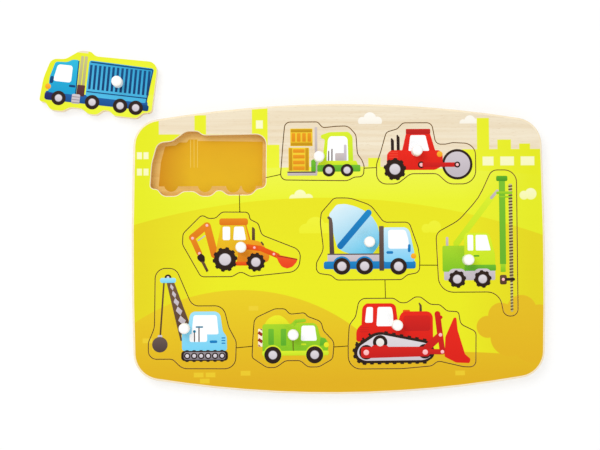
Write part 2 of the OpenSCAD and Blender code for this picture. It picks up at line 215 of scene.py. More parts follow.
class Press:
    """Prints flat shapes of ink into one object, in layers that lie on each other.

    Shapes are given in mm from the middle of a peg, on the face that is printed.
    """

    def __init__(
        self, name: str, place: Matrix, only: Optional[Ink] = None, span: Optional[Point] = None
    ) -> None:
        """Opens an empty object for the ink.

        Args:
            name: Name of the printed piece.
            place: Takes mm from the peg to metres in the frame.
            only: One ink that stands in for every other, or None for a full picture.
            span: Heights in mm between which that ink changes, or None where each shape has its own.
        """
        self.settings = PressSettings()
        self.place = place
        self.back = place.inverted()
        self.only = only
        self.span = span
        self.layer = 0
        self.shift = Vector((0, 0, 0))
        bpy.ops.object.select_all(action="DESELECT")
        bpy.ops.mesh.primitive_plane_add(size=MM)
        self.piece = bpy.context.active_object
        self.piece.name = name
        self.piece.data.name = name
        self.piece.data.color_attributes.new(INK_LAYER, "FLOAT_COLOR", "CORNER")
        bpy.ops.object.mode_set(mode="EDIT")
        bpy.ops.mesh.select_all(action="SELECT")
        bpy.ops.mesh.delete(type="VERT")

    def patch(self, ink: Ink, corners: Sequence[Point], soft: float, lean: float = 0.0) -> None:
        """Prints an outline whose corners are rounded.

        Args:
            ink: Ink of the shape.
            corners: Corners in mm, in order round the outline.
            soft: How far along its edges each corner is rounded, in mm.
            lean: How far the upper end of the tone moves to the left, in mm to a mm of height.
        """
        self._polygon(corners)
        if soft > 0:
            bpy.ops.mesh.bevel(
                offset=soft * MM, segments=self.settings.corner_steps, affect="VERTICES", clamp_overlap=True
            )
        self._raise(ink, lean)

    def disc(self, ink: Ink, middle: Point, radius: float) -> None:
        """Prints a round spot.

        Args:
            ink: Ink of the spot.
            middle: Its middle in mm.
            radius: Its radius in mm.
        """
        self._polygon(self._ring(middle, [radius] * self.settings.disc_steps))
        self._raise(ink)

    def gear(self, ink: Ink, middle: Point, radius: float, lugs: int) -> None:
        """Prints a tyre with lugs round its tread.

        Args:
            ink: Ink of the tyre.
            middle: Its middle in mm.
            radius: Radius over the lugs in mm.
            lugs: Number of lugs.
        """
        valley = radius * (1 - self.settings.lug_depth_share)
        tooth = [radius] * self.settings.lug_steps + [valley] * self.settings.valley_steps
        self._polygon(self._ring(middle, tooth * lugs))
        self._raise(ink)

    def bar(self, ink: Ink, start: Point, end: Point, width: float, blunt: bool) -> None:
        """Prints a straight bar.

        Args:
            ink: Ink of the bar.
            start: One end in mm.
            end: The other end in mm.
            width: Its width in mm.
            blunt: Whether the ends are square.
        """
        along = Vector((end[0] - start[0], end[1] - start[1])).normalized()
        side = Vector((-along.y, along.x)) * (width / 2)
        cap = along * (0 if blunt else width / 2)
        first = Vector(start) - cap
        last = Vector(end) + cap
        corners = [first - side, last - side, last + side, first + side]
        soft = 0 if blunt else width * self.settings.bar_round_share
        self.patch(ink, [(c.x, c.y) for c in corners], soft)

    def next_layer(self) -> None:
        """Lets the next shapes lie over the ones printed so far."""
        self.layer += 1

    def close(self) -> bpy.types.Object:
        """Ends the printing and turns every face outwards.

        Returns:
            The printed piece.
        """
        bpy.ops.mesh.select_all(action="SELECT")
        bpy.ops.mesh.normals_make_consistent(inside=False)
        bpy.ops.mesh.select_all(action="DESELECT")
        bpy.ops.object.mode_set(mode="OBJECT")
        return self.piece

    @staticmethod
    def _ring(middle: Point, radii: list[float]) -> list[Point]:
        """Gives points at even angles round a middle, each at its own radius."""
        turn = 2 * math.pi / len(radii)
        return [
            (middle[0] + radius * math.cos(turn * i), middle[1] + radius * math.sin(turn * i))
            for i, radius in enumerate(radii)
        ]

    def _polygon(self, corners: Sequence[Point]) -> None:
        """Adds a flat face just under the printed surface and moves its corners to their places.

        Args:
            corners: Places in mm, in order round the face.
        """
        bpy.ops.mesh.select_all(action="DESELECT")
        bpy.ops.mesh.primitive_circle_add(vertices=len(corners), radius=MM, fill_type="NGON")
        mesh = bmesh.from_edit_mesh(self.piece.data)
        face = next(face for face in mesh.faces if face.select)
        for corner, (x, y) in zip(face.verts, corners):
            corner.co = self.place @ (Vector((x, y, -self.settings.sink)) + self.shift)
        bmesh.update_edit_mesh(self.piece.data)

    def _raise(self, ink: Ink, lean: float = 0.0) -> None:
        """Extrudes the selected face to the height of its layer and inks the whole shape.

        Args:
            ink: Ink of the shape.
            lean: How far the upper end of its tone moves to the left, in mm to a mm of height.
        """
        height = self.settings.sink + self.settings.first_layer + self.layer * self.settings.layer_step
        bpy.ops.mesh.extrude_region_move(TRANSFORM_OT_translate={"value": (0, 0, height * MM)})
        bpy.ops.mesh.select_linked()
        mesh = bmesh.from_edit_mesh(self.piece.data)
        tint = mesh.loops.layers.float_color[INK_LAYER]
        tone = (ink if ink in FLOOR_INKS else self.only or ink).value
        loops = [loop for face in mesh.faces if face.select for loop in face.loops]
        spots = [self.back @ loop.vert.co for loop in loops]
        rises = [spot.y - lean * spot.x for spot in spots]
        own = self.span is None or ink in FLOOR_INKS
        low, high = (min(rises), max(rises)) if own else self.span
        for loop, rise in zip(loops, rises):
            loop[tint] = tone.at((rise - low) / (high - low))
        bmesh.update_edit_mesh(self.piece.data)


# Shapes that a picture is made of
@dataclass(frozen=True)
class Patch:
    """An outline with rounded corners."""

    ink: Ink
    corners: tuple[Point, ...]
    soft: float = 0.0
    lean: float = 0.0

    def print_on(self, press: Press) -> None:
        """Prints the outline."""
        press.patch(self.ink, self.corners, self.soft, self.lean)


@dataclass(frozen=True)
class Block:
    """An upright rectangle with rounded corners, from its lower left to its upper right."""

    ink: Ink
    low: Point
    high: Point
    soft: float = 0.0

    def print_on(self, press: Press) -> None:
        """Prints the rectangle.

        Args:
            press: The press that holds the picture.
        """
        left, bottom = self.low
        right, top = self.high
        press.patch(self.ink, [(left, bottom), (right, bottom), (right, top), (left, top)], self.soft)


@dataclass(frozen=True)
class Spot:
    """A round spot."""

    ink: Ink
    middle: Point
    radius: float

    def print_on(self, press: Press) -> None:
        """Prints the spot."""
        press.disc(self.ink, self.middle, self.radius)


@dataclass(frozen=True)
class Bar:
    """A straight bar with round or square ends."""

    ink: Ink
    start: Point
    end: Point
    width: float
    blunt: bool = False

    def print_on(self, press: Press) -> None:
        """Prints the bar."""
        press.bar(self.ink, self.start, self.end, self.width, self.blunt)


@dataclass(frozen=True)
class Wheel:
    """A tyre with its rim and hub, with lugs on its tread where it has any."""

    middle: Point
    radius: float
    hub: float
    lugs: int = 0
    rim_width: float = 0.35

    def print_on(self, press: Press) -> None:
        """Prints the tyre, the rim and the hub over each other.

        Args:
            press: The press that holds the picture.
        """
        if self.lugs:
            press.gear(Ink.TYRE, self.middle, self.radius, self.lugs)
        else:
            press.disc(Ink.TYRE, self.middle, self.radius)
        press.next_layer()
        press.disc(Ink.RIM, self.middle, self.hub + self.rim_width)
        press.next_layer()
        press.disc(Ink.HUB, self.middle, self.hub)


@dataclass(frozen=True)
class Row:
    """A shape that repeats at even steps."""

    shape: Union[Patch, Block, Spot, Bar]
    step: Point
    count: int

    def print_on(self, press: Press) -> None:
        """Prints the shape at each step.

        Args:
            press: The press that holds the picture.
        """
        for i in range(self.count):
            press.shift = Vector((self.step[0] * i, self.step[1] * i, 0))
            self.shape.print_on(press)
        press.shift = Vector((0, 0, 0))


Shape = Union[Patch, Block, Spot, Bar, Wheel, Row]
Shapes = tuple[Shape, ...]
Picture = list[Union[Shape, Shapes]]


# Shader building
@dataclass(frozen=True)
class Blots:
    """A noise: the size of its blots along each axis in mm, and how many finer noises lie on it."""

    size: Triple
    detail: float


@dataclass(frozen=True)
class Relief:
    """A bump: its full rise in mm, and how strongly it shows."""

    rise: float
    strength: float


# Sockets of a Mix node that is set to colours
MIX_SHARE = 0
MIX_LOW = 6
MIX_HIGH = 7
MIX_RESULT = 2


class Wire:
    """A value in a shader; its operators add Math nodes to the same recipe."""

    def __init__(self, recipe: "Recipe", socket: bpy.types.NodeSocket) -> None:
        """Keeps the socket and the recipe that it belongs to."""
        self.recipe = recipe
        self.socket = socket

    def math(self, operation: str, *values: Any) -> "Wire":
        """Adds a Math node.

        Args:
            operation: Name of the node's operation.
            values: Numbers or wires, in the node's order.

        Returns:
            The node's result.
        """
        sockets = dict(enumerate(values))
        return self.recipe.add("ShaderNodeMath", {"operation": operation}, sockets)

    def __add__(self, other: Any) -> "Wire":
        """Adds a value."""
        return self.math("ADD", self, other)

    def __radd__(self, other: Any) -> "Wire":
        """Adds to a number."""
        return self.math("ADD", other, self)

    def __sub__(self, other: Any) -> "Wire":
        """Takes a value away."""
        return self.math("SUBTRACT", self, other)

    def __rsub__(self, other: Any) -> "Wire":
        """Is taken away from a number."""
        return self.math("SUBTRACT", other, self)

    def __mul__(self, other: Any) -> "Wire":
        """Multiplies by a value."""
        return self.math("MULTIPLY", self, other)

    def __rmul__(self, other: Any) -> "Wire":
        """Multiplies a number."""
        return self.math("MULTIPLY", other, self)

    def __truediv__(self, other: Any) -> "Wire":
        """Divides by a value."""
        return self.math("DIVIDE", self, other)

    def least(self, other: Any) -> "Wire":
        """Gives the smaller of two values."""
        return self.math("MINIMUM", self, other)

    def most(self, other: Any) -> "Wire":
        """Gives the larger of two values."""
        return self.math("MAXIMUM", self, other)

    def size(self) -> "Wire":
        """Gives the value without its sign."""
        return self.math("ABSOLUTE", self)

    def floor(self) -> "Wire":
        """Gives the whole number below the value."""
        return self.math("FLOOR", self)

    def modulo(self, divisor: float) -> "Wire":
        """Gives what is left after dividing by a number."""
        return self.math("FLOORED_MODULO", self, divisor)

    def ramp(self, start: float, end: float) -> "Wire":
        """Gives 0 at start and 1 at end, with a straight line between."""
        sockets = {"Value": self, "From Min": start, "From Max": end}
        return self.recipe.add("ShaderNodeMapRange", {"clamp": True}, sockets)

    def between(self, low: float, high: float) -> "Wire":
        """Gives low where the value is 0 and high where it is 1."""
        return low + (high - low) * self


class Recipe:
    """The nodes of one material or world under construction."""

    def __init__(self, owner: Union[bpy.types.Material, bpy.types.World]) -> None:
        """Empties the owner's node tree.

        Args:
            owner: The material or world that gets the nodes.
        """
        owner.use_nodes = True
        self.owner = owner
        self.tree = owner.node_tree
        self.tree.nodes.clear()

    @classmethod
    def named(cls, name: str) -> "Recipe":
        """Starts a new material."""
        return cls(bpy.data.materials.new(name))

    def node(
        self, kind: str, settings: Optional[dict[str, Any]] = None, sockets: Optional[dict[Any, Any]] = None
    ) -> bpy.types.Node:
        """Adds a node.

        Args:
            kind: The node's type.
            settings: Properties that are set before any socket.
            sockets: Values or wires by the name or number of an input.

        Returns:
            The node.
        """
        node = self.tree.nodes.new(kind)
        for key, value in (settings or {}).items():
            setattr(node, key, value)
        for key, value in (sockets or {}).items():
            if isinstance(value, Wire):
                self.tree.links.new(value.socket, node.inputs[key])
            else:
                node.inputs[key].default_value = value
        return node

    def add(
        self,
        kind: str,
        settings: Optional[dict[str, Any]] = None,
        sockets: Optional[dict[Any, Any]] = None,
        output: Union[int, str] = 0,
    ) -> Wire:
        """Adds a node and gives one of its outputs; the other arguments are those of node."""
        return Wire(self, self.node(kind, settings, sockets).outputs[output])

    def mix(self, low: Any, high: Any, share: Any) -> Wire:
        """Mixes two colours.

        Args:
            low: Colour or wire at a share of 0.
            high: Colour or wire at a share of 1.
            share: Number or wire.

        Returns:
            The mixed colour.
        """
        sockets = {MIX_SHARE: share, MIX_LOW: low, MIX_HIGH: high}
        return self.add("ShaderNodeMix", {"data_type": "RGBA"}, sockets, MIX_RESULT)

    def mix_shaders(self, low: Wire, high: Wire, share: Wire) -> Wire:
        """Mixes two shaders, from low at a share of 0 to high at 1."""
        return self.add("ShaderNodeMixShader", sockets={0: share, 1: low, 2: high})

    def point(self) -> Wire:
        """Gives the place on the piece in mm."""
        place = self.add("ShaderNodeTexCoord", output="Object")
        return self.add("ShaderNodeVectorMath", {"operation": "SCALE"}, {0: place, "Scale": 1 / MM})

    def scaled(self, point: Wire, shares: Triple) -> Wire:
        """Multiplies each axis of a place by its own share."""
        return self.add("ShaderNodeVectorMath", {"operation": "MULTIPLY"}, {0: point, 1: shares})

    def flat(self, point: Wire) -> Wire:
        """Gives a place without its height."""
        return self.scaled(point, (1.0, 1.0, 0.0))

    def noise(self, point: Wire, blots: Blots) -> Wire:
        """Gives a noise.

        Args:
            point: Place in mm.
            blots: Size and detail of the noise.

        Returns:
            The noise, from 0 to 1 and mostly near a half.
        """
        place = self.scaled(point, tuple(1 / length for length in blots.size))
        sockets = {"Vector": place, "Scale": 1.0, "Detail": blots.detail}
        return self.add("ShaderNodeTexNoise", sockets=sockets)

    def axis(self, point: Wire, name: str) -> Wire:
        """Gives one axis of a place."""
        return self.add("ShaderNodeSeparateXYZ", sockets={0: point}, output=name)

    def bump(self, height: Wire, relief: Relief) -> Wire:
        """Gives the normal of a relief that follows a height from 0 to 1."""
        sockets = {"Height": height, "Distance": relief.rise * MM, "Strength": relief.strength}
        return self.add("ShaderNodeBump", sockets=sockets, output="Normal")

    def surface(self, colour: Wire, roughness: Wire, normal: Wire, gloss: float) -> bpy.types.Material:
        """Ends the material in a Principled shader.

        Args:
            colour: Its colour.
            roughness: Its roughness.
            normal: Its normal.
            gloss: How strongly it mirrors.

        Returns:
            The material.
        """
        shader = self.add("ShaderNodeBsdfPrincipled", sockets={
            "Base Color": colour,
            "Roughness": roughness,
            "Normal": normal,
            "Specular IOR Level": gloss,
        })
        self.node("ShaderNodeOutputMaterial", sockets={"Surface": shader})
        return self.owner

    def seen(self) -> Wire:
        """Finds the rays that show the background.

        Returns:
            1 for a ray from the camera, in a gloss or through glass, and 0 for any other.
        """
        path = self.node("ShaderNodeLightPath")
        kinds = ("Camera", "Glossy", "Transmission")
        return reduce(Wire.most, (Wire(self, path.outputs[f"Is {kind} Ray"]) for kind in kinds))


# Finishes
@dataclass(frozen=True)
class WoodGrain:
    """Pale plywood veneer with long streaks and short dark pores along the board."""

    pale: Rgb = (240, 229, 205)
    deep: Rgb = (230, 212, 181)
    pore: Rgb = (204, 176, 136)
    streak: Blots = Blots((90.0, 2.6, 2.6), 4.0)
    band: Blots = Blots((240.0, 14.0, 14.0), 2.0)
    streak_share: float = 0.6
    contrast: Span = (0.34, 0.66)
    pores: Blots = Blots((5.0, 0.35, 0.35), 1.0)
    pore_edge: Span = (0.66, 0.74)
    pore_share: float = 0.45

    def streaks(self, recipe: Recipe, point: Wire) -> Wire:
        """Gives the streaks of the grain.

        Args:
            recipe: The material under construction.
            point: Place in mm.

        Returns:
            The grain as a value from 0, pale, to 1, deep.
        """
        fine = recipe.noise(point, self.streak)
        broad = recipe.noise(point, self.band)
        return (self.streak_share * fine + (1 - self.streak_share) * broad).ramp(*self.contrast)

    def colour(self, recipe: Recipe, point: Wire) -> Wire:
        """Gives the colour of the bare veneer.

        Args:
            recipe: The material under construction.
            point: Place in mm.

        Returns:
            The colour.
        """
        veneer = recipe.mix(linear(self.pale), linear(self.deep), self.streaks(recipe, point))
        pores = recipe.noise(point, self.pores).ramp(*self.pore_edge)
        return recipe.mix(veneer, linear(self.pore), pores * self.pore_share)


@dataclass(frozen=True)
class RecessGrain(WoodGrain):
    """The browner veneer on the floor of the recesses."""

    pale: Rgb = (236, 196, 114)
    deep: Rgb = (226, 179, 96)
    pore: Rgb = (200, 148, 74)


@dataclass(frozen=True)
class Veneer:
    """The bare faces of the plywood."""

    grain: WoodGrain = WoodGrain()
    roughness: Span = (0.5, 0.64)
    relief: Relief = Relief(0.03, 0.6)
    gloss: float = 0.15

    def material(self, name: str) -> bpy.types.Material:
        """Builds the finish.

        Args:
            name: Name of the material.

        Returns:
            The material.
        """
        recipe = Recipe.named(name)
        point = recipe.point()
        colour = self.grain.colour(recipe, point)
        streaks = self.grain.streaks(recipe, point)
        normal = recipe.bump(streaks, self.relief)
        return recipe.surface(colour, streaks.between(*self.roughness), normal, self.gloss)


@dataclass(frozen=True)
class PlyEdge:
    """The edge of plywood: plies of one thickness in mm, in turn along the grain and across it."""

    ply: float
    pale: Rgb = (250, 237, 208)
    deep: Rgb = (234, 210, 168)
    glue: Rgb = (204, 172, 124)
    glue_share: float = 0.07
    glue_cover: float = 0.6
    fibre: Blots = Blots((6.0, 6.0, 0.18), 3.0)
    fibre_span: Span = (0.0, 0.5)
    end_grain: Blots = Blots((0.3, 0.3, 0.3), 2.0)
    end_span: Span = (0.45, 1.0)
    contrast: Span = (0.3, 0.7)
    roughness: Span = (0.56, 0.72)
    relief: Relief = Relief(0.05, 0.5)
    gloss: float = 0.12

    def material(self, name: str, underside: float) -> bpy.types.Material:
        """Builds the finish.

        Args:
            name: Name of the material.
            underside: Height in mm at which the first ply starts.

        Returns:
            The material.
        """
        recipe = Recipe.named(name)
        point = recipe.point()
        plies = (recipe.axis(point, "Z") - underside) / self.ply
        across = plies.floor().modulo(2)
        seam = plies.modulo(1).ramp(self.glue_share, 0.0)
        fibre = recipe.noise(point, self.fibre).ramp(*self.contrast)
        ends = recipe.noise(point, self.end_grain).ramp(*self.contrast)
        long_ply = recipe.mix(linear(self.pale), linear(self.deep), fibre.between(*self.fibre_span))
        cross_ply = recipe.mix(linear(self.pale), linear(self.deep), ends.between(*self.end_span))
        wood = recipe.mix(long_ply, cross_ply, across)
        colour = recipe.mix(wood, linear(self.glue), self.glue_cover * seam)
        normal = recipe.bump(fibre, self.relief)
        return recipe.surface(colour, ends.between(*self.roughness), normal, self.gloss)


@dataclass(frozen=True)
class SawnEdgePaintedShade(PlyEdge):
    """The browner edge round the recesses and the tiles, whose brown is a painted shade of the narrow saw
    cuts.
    """

    pale: Rgb = (231, 191, 120)
    deep: Rgb = (213, 167, 96)
    glue: Rgb = (172, 122, 64)


Disc = tuple[float, float, float]
Box = tuple[float, float, float, float]


@dataclass(frozen=True)
class Area:
    """A printed area: all that lies in any of its discs or boxes and above its foot, in mm.

    A disc is x, y and radius; a box is its left, bottom, right and top.
    """

    crest: Rgb
    base: Rgb
    fade: Span
    discs: tuple[Disc, ...] = ()
    boxes: tuple[Box, ...] = ()
    foot: Optional[float] = None
    cover: float = 1.0
    flank: Optional[Rgb] = None
    flank_span: Span = (88.0, 142.0)

    def distance(self, recipe: Recipe, flat: Wire) -> Wire:
        """Measures how far a place lies from the area's edge.

        Args:
            recipe: The material under construction.
            flat: Place in mm, without its height.

        Returns:
            The distance in mm, below zero inside the area.
        """
        across = recipe.axis(flat, "X")
        height = recipe.axis(flat, "Y")
        edges = []
        for x, y, radius in self.discs:
            sockets = {0: flat, 1: (x, y, 0.0)}
            reach = recipe.add("ShaderNodeVectorMath", {"operation": "DISTANCE"}, sockets, "Value")
            edges.append(reach - radius)
        for left, bottom, right, top in self.boxes:
            beside = (across - (left + right) / 2).size() - (right - left) / 2
            above = (height - (bottom + top) / 2).size() - (top - bottom) / 2
            edges.append(beside.most(above))
        nearest = reduce(Wire.least, edges)
        return nearest if self.foot is None else nearest.most(self.foot - height)

    def colour(self, recipe: Recipe, flat: Wire) -> Wire:
        """Gives the area's colour, which fades from its crest to its base and toward the board's ends.

        Args:
            recipe: The material under construction.
            flat: Place in mm, without its height.

        Returns:
            The colour.
        """
        colour = recipe.mix(linear(self.crest), linear(self.base), recipe.axis(flat, "Y").ramp(*self.fade))
        if self.flank is None:
            return colour
        return recipe.mix(colour, linear(self.flank), recipe.axis(flat, "X").size().ramp(*self.flank_span))


@dataclass(frozen=True)
class LandscapePrint:
    """The landscape that is printed over the board and its tiles, from the far ground to the near."""

    grain: WoodGrain = WoodGrain()
    edge: float = 0.25
    mottle: Blots = Blots((0.8, 0.8, 0.8), 2.0)
    shade: Rgb = (160, 130, 40)
    streak_shade: float = 0.02
    mottle_shade: float = 0.015
    roughness: Span = (0.42, 0.52)
    relief: Relief = Relief(0.012, 0.5)
    gloss: float = 0.08
    high_clouds: Area = Area(
        (253, 252, 247), (248, 244, 233), (100.0, 90.0), foot=91.0, cover=0.85,
        discs=(
            (18.0, 93.0, 3.2), (23.5, 95.0, 4.6), (29.0, 93.0, 3.4),
            (92.0, 91.5, 2.6), (97.0, 93.0, 4.0), (102.0, 91.5, 3.0),
        ),
    )
    skyline: Area = Area(
        (231, 237, 45), (233, 240, 52), (90.0, 58.0),
        boxes=(
            (-154.0, 30.0, -131.0, 100.0), (-138.0, 50.0, -52.0, 84.0), (-105.0, 80.0, -96.5, 98.0),
            (-63.0, 50.0, -51.5, 112.0), (-52.0, 50.0, -43.0, 76.0), (22.0, 50.0, 31.0, 66.0),
            (102.0, 50.0, 111.0, 95.0), (91.0, 48.0, 154.0, 72.0), (117.0, 70.0, 127.0, 79.0),
            (133.0, 70.0, 141.0, 76.0),
        ),
        flank=(226, 231, 33),
    )
    far_field: Area = Area(
        (234, 242, 74), (231, 239, 46), (58.0, 34.0), discs=((0.0, -1500.0, 1559.8),),
        flank=(226, 232, 36),
    )
    windows: Area = Area(
        (250, 249, 216), (247, 246, 196), (76.0, 46.0), cover=0.85,
        boxes=(
            (-147.0, 66.0, -143.4, 71.0), (-142.2, 66.0, -138.6, 71.0), (-147.0, 54.0, -143.4, 59.0),
            (-142.2, 54.0, -138.6, 59.0), (-60.0, 88.0, -55.0, 94.0), (106.0, 60.0, 114.0, 66.5),
            (119.0, 60.0, 129.0, 66.5), (134.0, 60.0, 144.0, 66.5),
        ),
    )
    field_clouds: Area = Area(
        (250, 249, 214), (246, 246, 176), (44.0, 34.0), foot=34.5, cover=0.85,
        discs=(
            (-33.0, 36.5, 3.0), (-28.0, 38.5, 4.4), (-22.0, 36.5, 3.4), (136.0, 38.0, 3.2),
            (141.0, 39.0, 4.2),
        ),
    )
    near_field: Area = Area(
        (230, 226, 33), (231, 232, 32), (36.0, -30.0), discs=((-14.0, -450.0, 487.0),),
        flank=(225, 212, 30),
    )
    pale_clouds: Area = Area(
        (239, 243, 66), (236, 238, 46), (28.0, 8.0), foot=11.0, cover=0.8,
        discs=(
            (-24.0, 13.0, 5.0), (-17.0, 16.0, 7.0), (-9.0, 13.0, 5.5), (64.0, 14.0, 3.4),
            (70.0, 15.0, 4.8),
        ),
    )
    ochre_hill: Area = Area(
        (230, 204, 34), (222, 174, 29), (-32.0, -98.0),
        discs=((-72.0, -168.0, 138.0), (80.0, -560.0, 484.0)),
    )
    shrubs: Area = Area(
        (226, 187, 33), (224, 177, 30), (-44.0, -90.0),
        discs=(
            (108.0, -58.0, 8.0), (118.0, -50.0, 9.5), (133.0, -46.0, 11.0), (146.0, -54.0, 12.0),
            (124.0, -65.5, 14.0), (140.0, -70.0, 14.0),
        ),
    )
    bricks: Area = Area(
        (235, 207, 52), (233, 201, 44), (-60.0, -96.0), cover=0.9,
        boxes=(
            (-143.0, -68.0, -136.0, -64.6), (-136.0, -73.0, -129.0, -69.6), (-106.0, -93.0, -99.0, -89.6),
            (-97.4, -93.0, -90.4, -89.6), (-101.6, -97.4, -94.6, -94.0), (-72.0, -92.0, -65.0, -88.6),
            (-66.0, -45.0, -59.0, -41.6), (84.0, -93.0, 91.0, -89.6),
        ),
    )

    def material(self, name: str, home: Optional[Matrix] = None) -> bpy.types.Material:
        """Builds the finish.

        Args:
            name: Name of the material.
            home: Takes mm on a tile that lies elsewhere back to mm on the board, or None.

        Returns:
            The material.
        """
        recipe = Recipe.named(name)
        point = recipe.point()
        if home is not None:
            sockets = {"Vector": point, "Location": home.to_translation(), "Rotation": home.to_euler()}
            point = recipe.add("ShaderNodeMapping", {"vector_type": "POINT"}, sockets)
        flat = recipe.flat(point)
        print_colour = self.grain.colour(recipe, point)
        for area in (getattr(self, field.name) for field in fields(self)):
            if isinstance(area, Area):
                inside = area.distance(recipe, flat).ramp(self.edge, -self.edge)
                print_colour = recipe.mix(print_colour, area.colour(recipe, flat), inside * area.cover)
        streaks = self.grain.streaks(recipe, point)
        mottle = recipe.noise(point, self.mottle)
        shade = self.streak_shade * streaks + self.mottle_shade * mottle
        colour = recipe.mix(print_colour, linear(self.shade), shade)
        normal = recipe.bump(streaks, self.relief)
        return recipe.surface(colour, mottle.between(*self.roughness), normal, self.gloss)


@dataclass(frozen=True)
class PictureInk:
    """The inks of the pictures under one clear varnish.

    Two places in mm along the board can be given for a painted shade: the ink is darkened to the colour
    deep at the first of them and keeps its own colour from the second on.
    """

    mottle: Blots = Blots((1.2, 1.2, 1.2), 2.0)
    clouds: Blots = Blots((14.0, 9.0, 9.0), 1.0)
    cloud_edge: Span = (0.35, 0.7)
    shade: Rgb = (70, 50, 44)
    mottle_shade: float = 0.015
    cloud_shade: float = 0.02
    roughness: Span = (0.38, 0.5)
    relief: Relief = Relief(0.01, 0.4)
    gloss: float = 0.08
    # painted shade of a wall: its colour, and the places along the board where it is full and where it ends
    deep: Rgb = (208, 143, 24)
    deep_ends: Optional[Span] = None

    def material(self, name: str) -> bpy.types.Material:
        """Builds the finish.

        Args:
            name: Name of the material.

        Returns:
            The material.
        """
        recipe = Recipe.named(name)
        point = recipe.point()
        ink = recipe.add("ShaderNodeAttribute", {"attribute_name": INK_LAYER}, output="Color")
        # painted shade, darkest at the first place and gone from the second
        if self.deep_ends:
            ink = recipe.mix(linear(self.deep), ink, recipe.axis(point, "X").ramp(*self.deep_ends))
        mottle = recipe.noise(point, self.mottle)
        clouds = recipe.noise(point, self.clouds).ramp(*self.cloud_edge)
        shade = self.mottle_shade * mottle + self.cloud_shade * clouds
        colour = recipe.mix(ink, linear(self.shade), shade)
        normal = recipe.bump(mottle, self.relief)
        return recipe.surface(colour, mottle.between(*self.roughness), normal, self.gloss)


@dataclass(frozen=True)
class PegPaint:
    """White satin paint on a turned peg, with faint warm brush marks."""

    white: Rgb = (254, 253, 252)
    warm: Rgb = (248, 244, 240)
    brush: Blots = Blots((3.0, 3.0, 0.8), 2.0)
    brush_edge: Span = (0.35, 0.75)
    peel: Blots = Blots((0.7, 0.7, 0.7), 1.0)
    roughness: Span = (0.34, 0.48)
    relief: Relief = Relief(0.02, 0.4)
    gloss: float = 0.25

    def material(self, name: str) -> bpy.types.Material:
        """Builds the finish.

        Args:
            name: Name of the material.

        Returns:
            The material.
        """
        recipe = Recipe.named(name)
        point = recipe.point()
        brush = recipe.noise(point, self.brush).ramp(*self.brush_edge)
        peel = recipe.noise(point, self.peel)
        colour = recipe.mix(linear(self.white), linear(self.warm), brush)
        normal = recipe.bump(peel, self.relief)
        return recipe.surface(colour, peel.between(*self.roughness), normal, self.gloss)


@dataclass(frozen=True)
class TablePaper:
    """White paper that glows a little where it is seen, so that it shows white and keeps its shadows."""

    shade: Rgb = (252, 252, 253)
    tooth: Blots = Blots((2.0, 2.0, 2.0), 2.0)
    roughness: Span = (0.9, 0.95)
    gloss: float = 0.1
    glow_share: float = 0.55
    glow_strength: float = 1.0

    def material(self, name: str) -> bpy.types.Material:
        """Builds the finish.

        Args:
            name: Name of the material.

        Returns:
            The material.
        """
        recipe = Recipe.named(name)
        tooth = recipe.noise(recipe.point(), self.tooth)
        paper = recipe.add("ShaderNodeBsdfPrincipled", sockets={
            "Base Color": recipe.mix(linear(WHITE), linear(self.shade), tooth),
            "Roughness": tooth.between(*self.roughness),
            "Specular IOR Level": self.gloss,
        })
        glow = recipe.add("ShaderNodeEmission", sockets={"Strength": self.glow_strength})
        shader = recipe.mix_shaders(paper, glow, self.glow_share * recipe.seen())
        recipe.node("ShaderNodeOutputMaterial", sockets={"Surface": shader})
        return recipe.owner


# Pieces that follow the CAD solids
def take(piece: bpy.types.Object) -> None:
    """Selects one object alone and makes it the active one.

    Args:
        piece: The object.
    """
    bpy.ops.object.select_all(action="DESELECT")
    piece.select_set(True)
    bpy.context.view_layer.objects.active = piece


def copy_of(node: str, name: str) -> bpy.types.Object:
    """Copies a CAD node and joins its loose triangles into clean faces.

    Args:
        node: Name of the node.
        name: Name of the copy.

    Returns:
        The copy, with no material.
    """
    piece = bpy.data.objects.new(name, frame["nodes"][node].data.copy())
    piece.data.name = name
    piece.data.materials.clear()
    bpy.context.scene.collection.objects.link(piece)
    take(piece)
    bpy.ops.object.mode_set(mode="EDIT")
    bpy.ops.mesh.select_all(action="SELECT")
    bpy.ops.mesh.remove_doubles(threshold=MERGE_GAP)
    bpy.ops.mesh.dissolve_limited(angle_limit=FLAT_ANGLE)
    bpy.ops.mesh.select_all(action="DESELECT")
    bpy.ops.object.mode_set(mode="OBJECT")
    return piece


def ease_edges(
    piece: bpy.types.Object, wanted: Callable[[bmesh.types.BMEdge], bool], width: float
) -> None:
    """Rounds some edges of a piece.

    Args:
        piece: The piece.
        wanted: Tells whether an edge is rounded.
        width: Width of the rounding in mm.
    """
    take(piece)
    bpy.ops.object.mode_set(mode="EDIT")
    bpy.ops.mesh.select_mode(type="EDGE")
    bpy.ops.mesh.select_all(action="DESELECT")
    mesh = bmesh.from_edit_mesh(piece.data)
    for edge in mesh.edges:
        edge.select_set(wanted(edge))
    bmesh.update_edit_mesh(piece.data)
    bpy.ops.mesh.bevel(offset=width * MM, segments=EASE_STEPS, affect="EDGES", clamp_overlap=True)
    bpy.ops.mesh.select_all(action="DESELECT")
    bpy.ops.mesh.select_mode(type="VERT")
    bpy.ops.object.mode_set(mode="OBJECT")


class Face(Enum):
    """Which way a face of a panel or tile looks; the value is its material slot."""

    TOP = 0
    EDGE = 1
    UNDERSIDE = 2
    CUT = 3

    @classmethod
    def of(cls, normal: Vector) -> "Face":
        """Tells which way a normal looks.

        Args:
            normal: Normal of a face.

        Returns:
            The way; any that is neither straight up nor straight down is an edge.
        """
        if normal.z > FLAT_NORMAL:
            return cls.TOP
        return cls.UNDERSIDE if normal.z < -FLAT_NORMAL else cls.EDGE


